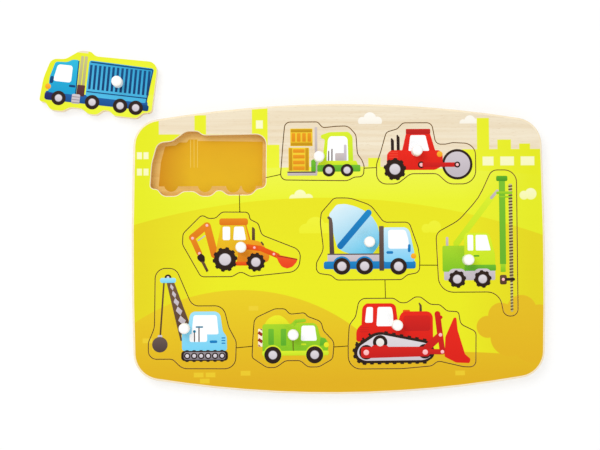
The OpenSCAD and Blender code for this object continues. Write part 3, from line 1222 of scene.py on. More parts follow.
def rim_spot(edge: bmesh.types.BMEdge) -> Optional[Vector]:
    """Finds the edges that end a piece's upper face.

    Args:
        edge: An edge of the piece.

    Returns:
        The edge's middle in metres, or None where it isn't between an upper face and a side.
    """
    ways = {Face.of(face.normal) for face in edge.link_faces}
    middle = (edge.verts[0].co + edge.verts[1].co) / 2
    return middle if ways == {Face.TOP, Face.EDGE} else None


def dress(
    piece: bpy.types.Object,
    materials: dict[Face, bpy.types.Material],
    upright: Callable[[Vector], Face] = lambda middle: Face.EDGE,
) -> None:
    """Gives a panel or tile its materials by the way each face looks, and smooths its round edges.

    Args:
        piece: The piece.
        materials: One material for each way, in the order of the slots.
        upright: Tells from its middle which kind an upright face is.
    """
    for face in materials:
        piece.data.materials.append(materials[face])
    take(piece)
    bpy.ops.object.shade_smooth_by_angle(angle=SMOOTH_ANGLE)
    for polygon in piece.data.polygons:
        face = Face.of(polygon.normal)
        polygon.use_smooth = face is Face.EDGE
        if face is Face.EDGE and abs(polygon.normal.z) < UPRIGHT_NORMAL:
            face = upright(polygon.center)
        polygon.material_index = face.value


def place_piece(piece: bpy.types.Object, body: str, slot: str, *nodes: str) -> None:
    """Lets a piece ride on its body, hides the nodes that it stands for, and reports it.

    Args:
        piece: The piece.
        body: Name of the body.
        slot: Name of the slot; not used.
        nodes: Names of the CAD nodes that the piece stands for, if any.
    """
    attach(piece, body)
    if nodes:
        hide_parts(*nodes)
    log.info("%s rides on %s with %d faces", piece.name, body, len(piece.data.polygons))


@dataclass
class Finishes:
    """The materials that several pieces share."""

    printed: bpy.types.Material
    veneer: bpy.types.Material
    floor: bpy.types.Material
    ink: bpy.types.Material
    paint: bpy.types.Material

    @classmethod
    def make(cls) -> "Finishes":
        """Builds the shared materials."""
        return cls(
            LandscapePrint().material("landscape_print"),
            Veneer().material("bare_veneer"),
            Veneer(RecessGrain()).material("recess_floor_veneer"),
            PictureInk().material("picture_ink"),
            PegPaint().material("peg_paint"),
        )


@dataclass
class Board:
    """The base panel and the sawn panel that is glued on it; lengths in mm.

    The bow is how far the long sides fall back from their middle to their ends, and the empty recess is
    a box round it: its left, bottom, right and top.
    """

    base_plies: int = 3
    panel_plies: int = PANEL_PLIES
    rim_width: float = 5.0
    long_bow: float = 14.0
    empty_recess: Box = (-138.5, 38.0, -51.5, 87.5)
    mouth_eased: float = 0.6

    def build(self, finishes: Finishes) -> None:
        """Builds and dresses both panels.

        Args:
            finishes: The shared materials.
        """
        self._panel("base_panel", "base_board", self.base_plies, finishes.floor, finishes)
        self._panel("top_panel", "sawn_panel", self.panel_plies, finishes.printed, finishes)

    def _panel(
        self, node: str, name: str, plies: int, top: bpy.types.Material, finishes: Finishes
    ) -> None:
        """Copies one panel's solid and dresses it.

        Args:
            node: The panel's node.
            name: Name of the new piece.
            plies: Number of plies.
            top: Material of the upper face.
            finishes: The shared materials.
        """
        low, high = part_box(node)
        ply = (high.z - low.z) / MM / plies
        half = Vector((high.x, high.y)) - Vector((self.rim_width, self.rim_width)) * MM

        def upright(middle: Vector) -> Face:
            """Tells the board's rim and the saw cuts apart.

            Args:
                middle: Middle of an upright face in metres.

            Returns:
                The kind of the face.
            """
            bow = self.long_bow * MM * (middle.x / high.x) ** 2
            outer = abs(middle.x) > half.x or abs(middle.y) > half.y - bow
            return Face.EDGE if outer else Face.CUT

        def mouth(edge: bmesh.types.BMEdge) -> bool:
            """Finds the mouth of the empty recess.

            Args:
                edge: An edge of the panel.

            Returns:
                Whether the edge runs round that mouth.
            """
            spot = rim_spot(edge)
            left, bottom, right, upper = (side * MM for side in self.empty_recess)
            return spot is not None and left < spot.x < right and bottom < spot.y < upper

        piece = copy_of(node, name)
        if top == finishes.printed:
            ease_edges(piece, mouth, self.mouth_eased)
        edge = PlyEdge(ply).material(name + "_edge", low.z / MM)
        # the saw cuts and the recess walls get the browner edge, a painted shade
        cut = SawnEdgePaintedShade(ply).material(name + "_cut", low.z / MM)
        materials = {Face.TOP: top, Face.EDGE: edge, Face.UNDERSIDE: finishes.veneer, Face.CUT: cut}
        dress(piece, materials, upright)
        slot = "printed_panel" if top == finishes.printed else "bare_plywood"
        place_piece(piece, "board", slot, node)


@dataclass
class Vehicle:
    """A vehicle tile with its picture, its peg and the plain print on the floor of its recess.

    The shapes of a subclass are its fields in the order in which they are printed.
    Their places are in mm from the middle of the peg.
    """

    name: str
    plies: int = PANEL_PLIES
    eased: float = 0.12
    floor_shift: Point = (0.0, 0.0)
    floor_stretch: float = 1.0
    picture_shift: Point = (0.0, 0.0)

    def build(self, finishes: Finishes) -> None:
        """Builds and dresses every piece of the vehicle.

        Args:
            finishes: The shared materials.
        """
        self._tile(finishes)
        self._peg(finishes)
        self._picture(finishes)
        self._recess(finishes)

    def shapes(self) -> Picture:
        """Gives the picture's shapes in the order of printing."""
        own = {field.name for field in fields(Vehicle)}
        return [getattr(self, field.name) for field in fields(self) if field.name not in own]

    def peg_place(self) -> Vector:
        """Finds the peg.

        Returns:
            The peg's middle on the tile's upper face, in metres.
        """
        low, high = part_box(self.name + "_peg")
        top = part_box(self.name + "_tile")[1].z
        return Vector(((low.x + high.x) / 2, (low.y + high.y) / 2, top))

    def turn(self) -> float:
        """Gives how far the tile is turned from its place in the board, in degrees."""
        return 0.0

    def home(self) -> Vector:
        """Gives the place over the recess where the peg stands when the tile is in it, in metres."""
        return self.peg_place()

    def printed(self, finishes: Finishes) -> bpy.types.Material:
        """Gives the landscape for the tile's upper face."""
        return finishes.printed

    def edge(self, ply: float) -> PlyEdge:
        """Gives the finish of the tile's sawn edge for a ply thickness in mm, browned as a painted shade of
        its cut.
        """
        return SawnEdgePaintedShade(ply)

    def floor_shapes(self) -> Picture:
        """Gives the shapes that are printed on the floor of the recess."""
        return self.shapes()

    def floor_ink(self, finishes: Finishes) -> bpy.types.Material:
        """Gives the ink on the floor of the recess."""
        return finishes.ink

    def _tile(self, finishes: Finishes) -> None:
        """Copies the tile's solid, eases its upper edge and dresses it.

        Args:
            finishes: The shared materials.
        """
        node = self.name + "_tile"
        low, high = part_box(node)
        peg_low, peg_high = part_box(self.name + "_peg")
        clear = (peg_high.x - peg_low.x) / 2
        middle = self.peg_place()

        def rim(edge: bmesh.types.BMEdge) -> bool:
            """Tells whether an edge runs round the tile's upper face, and not round its peg hole."""
            spot = rim_spot(edge)
            return spot is not None and (spot - middle).length > clear

        piece = copy_of(node, self.name + "_board")
        ease_edges(piece, rim, self.eased)
        edge = self.edge((high.z - low.z) / MM / self.plies).material(self.name + "_edge", low.z / MM)
        dress(piece, {Face.TOP: self.printed(finishes), Face.EDGE: edge, Face.UNDERSIDE: finishes.veneer})
        place_piece(piece, self.name, "printed_panel", node)

    def _peg(self, finishes: Finishes) -> None:
        """Copies the peg's solid and paints it.

        Args:
            finishes: The shared materials.
        """
        node = self.name + "_peg"
        piece = copy_of(node, self.name + "_knob")
        piece.data.materials.append(finishes.paint)
        take(piece)
        bpy.ops.object.shade_smooth_by_angle(angle=SMOOTH_ANGLE)
        place_piece(piece, self.name, "painted_peg", node)

    @staticmethod
    def _print(press: Press, shapes: Picture) -> bpy.types.Object:
        """Prints shapes, each a layer over the last, and ends the printing.

        Args:
            press: The press that holds the picture.
            shapes: The shapes in the order of printing.

        Returns:
            The printed piece.
        """
        for group in shapes:
            for shape in group if isinstance(group, tuple) else (group,):
                shape.print_on(press)
                press.next_layer()
        return press.close()

    def _picture(self, finishes: Finishes) -> None:
        """Prints the vehicle on its tile.

        Args:
            finishes: The shared materials.
        """
        turned = Matrix.Rotation(math.radians(self.turn()), MATRIX_SIZE, "Z")
        shift = Matrix.Translation(Vector((*self.picture_shift, 0.0)))
        place = Matrix.Translation(self.peg_place()) @ turned @ Matrix.Scale(MM, MATRIX_SIZE) @ shift
        piece = self._print(Press(self.name + "_picture", place), self.shapes())
        piece.data.materials.append(finishes.ink)
        place_piece(piece, self.name, self.name + "_print")

    def _recess(self, finishes: Finishes) -> None:
        """Prints the vehicle's plain shape on the floor of its recess.

        Args:
            finishes: The shared materials.
        """
        low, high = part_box(self.name + "_tile")
        middle = self.peg_place().y
        span = ((low.y - middle) / MM, (high.y - middle) / MM)
        spot = self.home() + (Vector(self.floor_shift) + Vector(self.picture_shift)).to_3d() * MM
        spot.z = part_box("base_panel")[1].z
        stretch = Matrix.Diagonal((1.0, self.floor_stretch, 1.0, 1.0))
        place = Matrix.Translation(spot) @ Matrix.Scale(MM, MATRIX_SIZE) @ stretch
        press = Press(self.name + "_recess_print", place, Ink.OCHRE, span)
        piece = self._print(press, self.floor_shapes())
        piece.data.materials.append(self.floor_ink(finishes))
        place_piece(piece, "board", "bare_plywood")


# The nine vehicles
@dataclass
class ContainerTruck(Vehicle):
    """A blue truck with a ribbed container; its tile lies on the table beside the board."""

    name: str = "container_truck"
    floor_shift: Point = (0.1, 0.2)
    floor_stretch: float = 1.06
    pipes: Shapes = (
        Block(Ink.TAN, (-29.0, -6.0), (-26.8, 16.8), 0.7),
        Block(Ink.TAN, (-26.2, -6.0), (-24.0, 16.8), 0.7),
    )
    chassis: Block = Block(Ink.COBALT, (-52.0, -18.2), (23.4, -11.5), 1.5)
    bumpers: Shapes = (
        Block(Ink.INDIGO, (-52.4, -17.8), (-46.4, -12.6), 1.4),
        Block(Ink.NAVY, (19.2, -18.6), (24.4, -14.2), 1.2),
    )
    battery: Block = Block(Ink.UMBER, (-29.3, -13.0), (-23.6, -4.7), 0.6)
    cab: Patch = Patch(
        Ink.AZURE,
        (
            (-50.2, -12.4), (-29.4, -12.4), (-29.8, 13.4), (-35.0, 13.4), (-38.5, 11.0), (-47.2, 10.5),
            (-50.2, -1.0),
        ),
        1.6,
    )
    cab_edge: Bar = Bar(Ink.NAVY, (-29.9, -11.6), (-30.2, 12.6), 0.8)
    container: Patch = Patch(
        Ink.CYAN, ((-22.6, -12.6), (22.2, -12.8), (25.2, 13.2), (-22.6, 14.2)), 1.8, -0.4,
    )
    rails: Shapes = (
        Bar(Ink.NAVY, (-21.0, 13.0), (23.8, 12.2), 1.0), Bar(Ink.NAVY, (-21.8, -9.0), (22.2, -9.2), 0.8),
        Bar(Ink.NAVY, (24.4, 11.6), (22.2, -11.8), 0.9),
    )
    ribs: Row = Row(Bar(Ink.NAVY, (-20.4, -7.0), (-20.8, 11.0), 1.75, True), (3.3, 0.0), 14)
    window: Patch = Patch(
        Ink.WINDOW, ((-47.6, -3.8), (-34.2, -3.8), (-34.2, 8.8), (-45.2, 8.8)), 2.0,
    )
    fittings: Shapes = (
        Bar(Ink.NAVY, (-48.6, -4.4), (-48.3, -1.6), 2.6),
        Bar(Ink.NAVY, (-34.6, -6.2), (-31.6, -6.2), 1.8), Spot(Ink.LAMP, (-50.6, -8.2), 2.1),
    )
    tank: Block = Block(Ink.STEEL, (-32.4, -18.8), (-26.4, -11.8), 0.9)
    tank_bands: Row = Row(Bar(Ink.RIM, (-32.2, -13.8), (-26.6, -13.8), 0.5, True), (0.0, -2.1), 3)
    wheels: Shapes = (
        Wheel((-42.0, -16.0), 5.3, 2.5), Wheel((-17.2, -16.4), 5.3, 2.5),
        Wheel((3.5, -16.8), 5.3, 2.5), Wheel((15.0, -17.0), 5.3, 2.5),
    )
    floor_fill: ClassVar[Patch] = Patch(
        Ink.OCHRE,
        (
            (-51.2, -17.6), (24.9, -17.6), (25.5, 13.2), (-22.6, 14.0), (-22.6, 15.0), (-29.0, 15.0),
            (-30.4, 13.0), (-36.0, 13.0), (-38.5, 11.0), (-46.4, 10.2), (-49.6, -1.0),
        ),
        1.0,
    )
    floor_lines: ClassVar[Row] = Row(
        Bar(Ink.STRAW, (-27.7, -4.6), (-27.7, 15.6), 0.45, True), (2.55, 0.0), 3,
    )
    # painted shade of the recess's left wall over the floor print: full at the first x in mm, gone at the
    # second
    floor_deep: ClassVar[Span] = (-132.0, -108.0)
    table_turn: ClassVar[float] = -6.6
    home_place: ClassVar[Point] = (-80.79, 64.87)

    def floor_shapes(self) -> Picture:
        """Gives the truck's outline and wheels, with thin lines behind the cab."""
        return [self.floor_fill, self.wheels, self.floor_lines]

    def floor_ink(self, finishes: Finishes) -> bpy.types.Material:
        """Gives an ink with a painted shade that darkens it towards the recess's left wall, at the cab's
        end.
        """
        return PictureInk(deep_ends=self.floor_deep).material("truck_floor_ink_painted_shade")

    def turn(self) -> float:
        """Gives how far the tile is turned from its place in the board, in degrees."""
        return self.table_turn

    def home(self) -> Vector:
        """Gives the place over the recess where the peg stands when the tile is in it, in metres."""
        return Vector((*self.home_place, 0.0)) * MM

    def edge(self, ply: float) -> PlyEdge:
        """Gives the pale edge of the one tile whose sides are in the light."""
        return PlyEdge(ply)

    def printed(self, finishes: Finishes) -> bpy.types.Material:
        """Gives the landscape as it ran over the tile before the tile was taken out.

        Args:
            finishes: The shared materials.

        Returns:
            A landscape of the tile's own, moved and turned with it.
        """
        back = Matrix.Rotation(math.radians(-self.table_turn), MATRIX_SIZE, "Z")
        peg = self.peg_place() / MM
        home = Matrix.Translation(Vector((*self.home_place, 0.0))) @ back @ Matrix.Translation(-peg)
        return LandscapePrint().material("truck_landscape_print", home)


@dataclass
class Forklift(Vehicle):
    """A lime forklift that carries two crates."""

    name: str = "forklift"
    mast: Block = Block(Ink.GREY, (-2.9, -12.0), (-1.0, 22.2), 0.4)
    crates: Shapes = (
        Block(Ink.CRATE_LIGHT, (-20.8, 8.2), (-4.4, 21.2), 0.6),
        Block(Ink.CRATE_LIGHT, (-22.2, -10.0), (-7.0, 7.2), 0.6),
    )
    crate_frames: Shapes = (
        Block(Ink.CRATE_DARK, (-20.3, 18.4), (-4.9, 20.7), 0.3),
        Block(Ink.CRATE_DARK, (-20.3, 8.7), (-4.9, 10.9), 0.3),
        Block(Ink.CRATE_DARK, (-21.7, -9.6), (-19.4, 6.7), 0.3),
        Block(Ink.CRATE_DARK, (-9.8, -9.6), (-7.5, 6.7), 0.3),
    )
    upright_slats: Row = Row(Block(Ink.CRATE, (-19.8, 11.5), (-17.2, 17.8), 0.3), (3.9, 0.0), 4)
    level_slats: Row = Row(Block(Ink.CRATE, (-18.8, -9.2), (-10.4, -6.6), 0.3), (0.0, 4.2), 4)
    cab: Patch = Patch(
        Ink.LIME,
        (
            (2.6, -4.0), (25.2, -4.0), (24.8, 15.0), (22.0, 18.6), (8.0, 18.4), (1.4, 16.2), (1.8, 13.6),
            (4.6, 13.4),
        ),
        1.6,
    )
    window: Patch = Patch(
        Ink.WINDOW,
        ((5.6, -3.0), (21.6, -3.0), (21.2, 13.6), (19.2, 15.4), (8.6, 15.4), (6.8, 13.2)),
        1.0,
    )
    seat: Shapes = (
        Block(Ink.GREY, (12.0, -2.8), (19.0, 3.0), 0.9), Block(Ink.STEEL, (18.4, -2.8), (20.4, 9.2), 0.8),
    )
    levers: Shapes = (
        Bar(Ink.IRON, (7.2, -3.0), (7.3, 4.4), 0.8), Bar(Ink.IRON, (9.6, -3.0), (9.7, 5.8), 0.9),
    )
    hood: Patch = Patch(Ink.LIME, ((-1.0, -6.4), (29.0, -6.4), (27.4, -2.6), (0.6, -2.6)), 0.9)
    chassis: Block = Block(Ink.GREEN, (-1.2, -10.6), (30.4, -5.7), 0.9)
    carriage: Patch = Patch(
        Ink.GREEN, ((-5.6, -10.4), (-2.2, -10.4), (-2.2, -3.4), (-3.4, -1.2), (-5.6, -2.4)), 0.6,
    )
    fork: Block = Block(Ink.GREY, (-23.0, -13.4), (-1.2, -11.0), 0.4)
    fork_top: Block = Block(Ink.IRON, (-23.0, -11.4), (-2.4, -10.4), 0.2)
    wheels: Shapes = (Wheel((7.3, -9.6), 4.6, 2.4), Wheel((20.6, -9.6), 4.6, 2.4))


@dataclass
class RoadRoller(Vehicle):
    """A red road roller with one wide drum."""

    name: str = "road_roller"
    picture_shift: Point = (-1.24, -1.22)
    exhausts: Shapes = (
        Patch(Ink.TYRE, ((-17.3, 1.0), (-15.1, 1.0), (-15.1, 9.0), (-16.6, 11.0), (-17.4, 10.6)), 0.3),
        Patch(Ink.TYRE, ((-13.1, 1.0), (-10.9, 1.0), (-10.9, 11.4), (-12.4, 13.4), (-13.2, 13.0)), 0.3),
    )
    drum: Spot = Spot(Ink.TYRE, (31.2, -8.6), 11.2)
    drum_face: Spot = Spot(Ink.STEEL, (31.2, -8.6), 9.4)
    cab: Patch = Patch(Ink.RED, ((-9.6, 0.0), (15.6, 0.0), (11.2, 15.0), (-6.0, 15.0)), 0.8)
    body: Patch = Patch(
        Ink.RED,
        (
            (-20.6, -11.0), (-16.0, -12.6), (15.0, -12.6), (20.4, -9.6), (20.6, -1.6), (18.6, 1.8),
            (-17.4, 2.0), (-20.2, -0.6),
        ),
        1.4,
    )
    bonnet_lines: Row = Row(Bar(Ink.POPPY, (-18.4, 0.3), (-12.6, 0.3), 0.9), (0.0, -1.8), 3)
    roof: Block = Block(Ink.GARNET, (-6.3, 13.8), (11.6, 17.6), 0.7)
    window: Patch = Patch(
        Ink.WINDOW, ((-4.6, 1.4), (10.8, 1.4), (8.0, 13.0), (-3.0, 13.0)), 1.0,
    )
    lamp: Spot = Spot(Ink.LAMP, (18.4, -1.0), 2.1)
    arm_pivot: Shapes = (Spot(Ink.TYRE, (4.8, -8.8), 2.5), Spot(Ink.PINK, (4.8, -8.8), 1.4))
    arm: Bar = Bar(Ink.CRIMSON, (5.6, -8.8), (31.2, -8.8), 3.3, True)
    drum_pivot: Shapes = (Spot(Ink.TYRE, (31.2, -8.8), 2.2), Spot(Ink.PINK, (31.2, -8.8), 1.1))
    wheel: Wheel = Wheel((-14.6, -12.0), 8.3, 3.8, 9)


@dataclass
class DrillRig(Vehicle):
    """A green drill rig with a tall mast."""

    name: str = "drill_rig"
    drill: Block = Block(Ink.TAN, (30.9, -15.0), (33.4, 55.6), 0.4)
    drill_tip: Block = Block(Ink.TAN, (31.3, -38.0), (33.0, -14.6), 0.4)
    drill_turns: Row = Row(Bar(Ink.BROWN, (30.7, -13.9), (33.6, -13.5), 1.1, True), (0.0, 2.25), 31)
    tip_turns: Row = Row(Bar(Ink.BROWN, (31.1, -36.4), (33.2, -36.0), 0.9, True), (0.0, 2.25), 10)
    boom: Bar = Bar(Ink.LIME, (-8.0, 12.0), (19.0, 47.0), 4.4)
    boom_link: Bar = Bar(Ink.GREY, (18.2, 45.4), (22.6, 50.4), 2.2)
    mast: Block = Block(Ink.FERN, (23.8, -3.4), (28.3, 59.0), 0.5)
    mast_foot: Block = Block(Ink.LEAF, (24.2, -9.0), (27.9, -3.2), 0.4)
    mast_cap: Block = Block(Ink.FOREST, (21.9, 57.6), (30.1, 61.4), 0.9)
    mast_ties: Shapes = (
        Bar(Ink.LEAF, (22.6, 49.0), (32.6, 49.0), 1.9), Bar(Ink.LEAF, (24.0, 46.0), (32.6, 46.0), 1.1),
    )
    clamp: Shapes = (
        Block(Ink.BROWN, (23.6, -18.1), (28.6, -11.1), 1.3),
        Bar(Ink.TYRE, (28.0, -14.4), (33.6, -14.4), 2.1),
    )
    clamp_pin: Spot = Spot(Ink.PINK, (26.1, -14.4), 1.1)
    exhaust: Block = Block(Ink.GREY, (-15.6, 8.0), (-13.8, 16.8), 0.4)
    chassis: Block = Block(Ink.STEEL, (-17.2, -14.8), (20.2, -7.0), 1.0)
    engine: Block = Block(Ink.LEAF, (-18.2, -8.6), (-1.0, 10.4), 1.4)
    cab: Patch = Patch(
        Ink.LIME,
        ((-2.2, -6.0), (20.4, -6.0), (20.2, 4.0), (16.6, 18.0), (14.0, 19.8), (-0.6, 19.8), (-2.2, 17.6)),
        1.3,
    )
    windows: Shapes = (
        Block(Ink.WINDOW, (0.2, 6.8), (4.4, 18.2), 0.8),
        Patch(Ink.WINDOW, ((6.2, 6.8), (17.2, 6.8), (14.4, 18.2), (6.2, 18.2)), 0.9),
    )
    handle: Bar = Bar(Ink.FOREST, (5.2, 2.9), (8.2, 2.9), 1.2)
    sill: Block = Block(Ink.GREEN, (-2.2, -8.0), (20.8, -3.6), 0.9)
    arches: Row = Row(
        Patch(
            Ink.STEEL,
            ((-15.0, -14.6), (-15.0, -9.8), (-11.6, -6.4), (-3.6, -6.4), (-0.2, -9.8), (-0.2, -14.6)),
            1.4,
        ),
        (18.6, 0.0), 2,
    )
    wheels: Shapes = (Wheel((-7.6, -14.0), 6.5, 3.0, 8), Wheel((11.0, -14.0), 6.5, 3.0, 8))


@dataclass
class Backhoe(Vehicle):
    """An orange backhoe loader with a hammer on its rear arm."""

    name: str = "backhoe"
    rear_arm: Shapes = (
        Bar(Ink.ORANGE, (-19.4, -5.0), (-24.8, 15.8), 5.4),
        Bar(Ink.ORANGE, (-25.2, 16.0), (-35.6, 7.4), 4.8),
    )
    fore_arm: Bar = Bar(Ink.ORANGE, (-35.4, 6.8), (-30.6, -3.8), 4.0)
    arm_tie: Bar = Bar(Ink.GREY, (-31.2, 5.2), (-26.4, 8.6), 0.9)
    arm_pins: Shapes = (
        Spot(Ink.PINK, (-24.9, 16.2), 1.0), Spot(Ink.PINK, (-35.4, 6.9), 1.0),
        Spot(Ink.PINK, (-30.4, -4.2), 1.0),
    )
    hammer: Patch = Patch(
        Ink.TYRE,
        ((-32.2, -6.4), (-29.2, -4.0), (-26.6, -6.2), (-26.4, -10.2), (-28.6, -11.2), (-31.6, -8.8)),
        0.8,
    )
    chisel: Patch = Patch(
        Ink.BROWN, ((-29.4, -10.0), (-26.8, -10.4), (-23.8, -16.8), (-25.2, -18.0)), 0.3,
    )
    exhaust: Patch = Patch(
        Ink.BROWN, ((7.9, 4.0), (10.1, 4.0), (10.1, 13.4), (8.6, 14.9), (7.9, 14.5)), 0.3,
    )
    cab: Patch = Patch(
        Ink.AMBER,
        ((-18.6, -6.0), (6.6, -6.0), (6.8, 5.6), (3.6, 17.0), (-14.4, 17.0), (-17.6, 2.0)),
        1.2,
    )
    pillar: Bar = Bar(Ink.ORANGE, (3.4, 16.4), (6.4, 5.4), 0.9)
    hood: Patch = Patch(
        Ink.TANGERINE,
        ((-3.6, -12.4), (19.4, -10.6), (20.8, -6.4), (16.6, 1.4), (12.6, 4.6), (5.2, 5.8), (-1.0, 3.4)),
        1.4,
    )
    step: Block = Block(Ink.SCARLET, (-4.4, -13.2), (5.0, -10.4), 0.6)
    lamp: Bar = Bar(Ink.BROWN, (14.8, 3.6), (16.0, 2.0), 1.2)
    roof: Block = Block(Ink.ORANGE, (-15.8, 16.2), (5.0, 21.2), 1.7)
    windows: Shapes = (
        Block(Ink.WINDOW, (-13.4, 5.4), (-8.0, 15.2), 1.1),
        Patch(Ink.WINDOW, ((-5.8, 5.4), (3.6, 5.4), (1.8, 15.2), (-5.0, 15.2)), 1.1),
    )
    loader_arm: Shapes = (
        Bar(Ink.SCARLET, (4.6, 0.4), (14.0, -0.8), 3.8),
        Bar(Ink.SCARLET, (14.0, -0.8), (26.4, -6.2), 3.6),
    )
    bucket: Patch = Patch(
        Ink.FLAME,
        (
            (25.0, -5.2), (41.0, -8.6), (40.2, -11.0), (37.4, -14.2), (33.4, -15.6), (29.6, -14.2),
            (27.2, -10.8),
        ),
        0.9,
    )
    bucket_lip: Bar = Bar(Ink.RUST, (26.4, -6.3), (40.6, -8.9), 0.7)
    loader_pins: Shapes = (Spot(Ink.PINK, (9.6, -0.2), 0.9), Spot(Ink.PINK, (23.8, -5.0), 0.9))
    wheels: Shapes = (Wheel((-11.8, -8.7), 9.0, 4.2, 10), Wheel((10.6, -10.8), 7.0, 3.2, 10))


@dataclass
class CementMixer(Vehicle):
    """A blue cement mixer with a striped drum."""

    name: str = "cement_mixer"
    drum: Patch = Patch(
        Ink.PALE_SKY,
        (
            (-29.2, 20.4), (-23.4, 27.6), (-17.0, 28.0), (-10.0, 26.2), (-3.6, 23.2), (2.2, 18.8),
            (6.0, 12.8), (7.8, 5.4), (7.2, -2.4), (2.6, -8.8), (-13.0, -8.8), (-19.0, -6.8),
            (-23.2, -4.0), (-25.6, 5.0),
        ),
        1.6, 0.55,
    )
    drum_stripe: Bar = Bar(Ink.BLUE, (-21.0, -2.8), (-0.2, 21.4), 4.6)
    chute: Shapes = (
        Bar(Ink.IRON, (-29.4, 18.0), (-28.2, 17.0), 1.9),
        Patch(Ink.IRON, ((-29.3, 16.6), (-27.2, 17.8), (-26.4, 14.0), (-25.4, -8.6), (-28.8, -8.6)), 0.4),
    )
    deck: Block = Block(Ink.STEEL, (-30.4, -15.0), (9.0, -8.6), 0.6)
    deck_edge: Bar = Bar(Ink.IRON, (-30.4, -8.8), (9.0, -8.8), 0.9, True)
    chassis: Block = Block(Ink.BLUE, (-33.2, -19.6), (34.0, -14.0), 1.6)
    cab: Patch = Patch(
        Ink.MIST,
        ((10.4, -14.6), (33.2, -14.6), (33.0, -8.0), (29.8, 8.0), (27.0, 10.6), (10.4, 10.6)),
        1.8,
    )
    post: Block = Block(Ink.IRON, (7.4, -21.0), (10.8, 11.6), 0.4)
    window: Patch = Patch(
        Ink.WINDOW, ((14.0, -5.0), (29.2, -5.0), (28.8, 2.0), (26.6, 8.8), (14.0, 8.8)), 1.8,
    )
    fittings: Shapes = (
        Bar(Ink.BLUE, (29.3, -6.6), (29.4, -2.8), 2.0), Bar(Ink.BLUE, (13.6, -7.7), (16.6, -7.7), 2.0),
        Spot(Ink.LAMP, (32.4, -10.4), 2.0),
    )
    fenders: Shapes = (Spot(Ink.BLUE, (-20.0, -17.0), 6.7), Spot(Ink.BLUE, (-3.4, -17.0), 6.7))
    wheels: Shapes = (
        Wheel((-20.0, -17.6), 6.1, 3.2), Wheel((-3.4, -17.6), 6.1, 3.2), Wheel((21.4, -17.9), 6.1, 3.2),
    )


@dataclass
class WreckingCrane(Vehicle):
    """A light-blue crane on tracks with a wrecking ball on its lattice boom."""

    name: str = "wrecking_crane"
    cable: Bar = Bar(Ink.BROWN, (-15.0, 33.6), (-17.8, -5.6), 1.2)
    ball_neck: Block = Block(Ink.STEEL, (-19.6, -7.6), (-16.4, -4.8), 0.7)
    ball: Spot = Spot(Ink.IRON, (-18.1, -11.8), 5.6)
    boom: Patch = Patch(Ink.COCOA, ((-12.6, 33.0), (-3.4, -6.0), (2.6, 3.0), (-8.0, 33.0)), 0.2)
    boom_gaps: Shapes = (
        Patch(Ink.STEEL, ((-10.1, 32.2), (-8.0, 29.8), (-8.6, 27.4), (-10.6, 29.8)), 0.2),
        Patch(Ink.STEEL, ((-8.6, 27.3), (-6.2, 24.6), (-6.9, 21.9), (-9.3, 24.6)), 0.2),
        Patch(Ink.STEEL, ((-7.0, 22.0), (-4.0, 19.0), (-5.1, 16.0), (-8.1, 19.0)), 0.2),
        Patch(Ink.STEEL, ((-5.1, 15.9), (-1.7, 12.6), (-3.1, 9.3), (-6.5, 12.6)), 0.2),
        Patch(Ink.STEEL, ((-3.1, 9.2), (0.8, 5.6), (-0.9, 2.0), (-4.8, 5.6)), 0.2),
    )
    boom_rails: Shapes = (
        Bar(Ink.COCOA, (-12.4, 33.0), (-2.6, -8.6), 1.3), Bar(Ink.COCOA, (-8.2, 33.0), (2.8, 3.4), 1.3),
    )
    pulley: Spot = Spot(Ink.TYRE, (-12.1, 36.6), 2.5)
    pulley_pin: Spot = Spot(Ink.HUB, (-12.1, 36.9), 1.0)
    head: Block = Block(Ink.SKY, (-17.8, 33.0), (-6.4, 36.6), 1.4)
    body: Patch = Patch(
        Ink.SKY,
        (
            (-2.0, -16.4), (30.6, -16.4), (30.4, -6.0), (27.6, -2.6), (25.8, 9.8), (22.8, 12.0),
            (6.0, 12.0), (3.6, 9.6), (2.8, 2.6), (-2.2, -2.0),
        ),
        1.7,
    )
    window: Patch = Patch(Ink.WINDOW, ((4.8, -4.6), (24.6, -4.6), (23.2, 9.4), (6.4, 9.4)), 1.5)
    door: Block = Block(Ink.WINDOW, (3.4, -10.0), (16.2, -4.0), 1.4)
    levers: Shapes = (
        Bar(Ink.IRON, (10.3, -9.6), (10.3, 1.0), 0.9), Bar(Ink.IRON, (7.0, -9.6), (7.0, -2.6), 0.8),
    )
    lever_grips: Shapes = (Bar(Ink.TEAL, (8.4, 0.8), (12.8, 0.8), 1.1), Spot(Ink.TEAL, (7.0, -2.4), 1.0))
    handle: Bar = Bar(Ink.BLUE, (19.0, -9.9), (22.6, -9.9), 1.9)
    vents: Row = Row(Bar(Ink.BLUE, (27.0, -7.2), (29.0, -7.2), 0.8), (0.0, -1.9), 3)
    track_lugs: Row = Row(Block(Ink.TYRE, (0.4, -24.4), (2.8, -15.9), 0.5), (5.06, 0.0), 6)
    track: Block = Block(Ink.TYRE, (-2.6, -23.7), (31.2, -16.5), 2.4)
    track_inside: Block = Block(Ink.RIM, (-0.8, -22.9), (29.4, -17.3), 1.9)
    rollers: Row = Row(Spot(Ink.TYRE, (1.7, -20.1), 2.3), (5.06, 0.0), 6)
    roller_hubs: Row = Row(Spot(Ink.HUB, (1.7, -20.1), 1.35), (5.06, 0.0), 6)


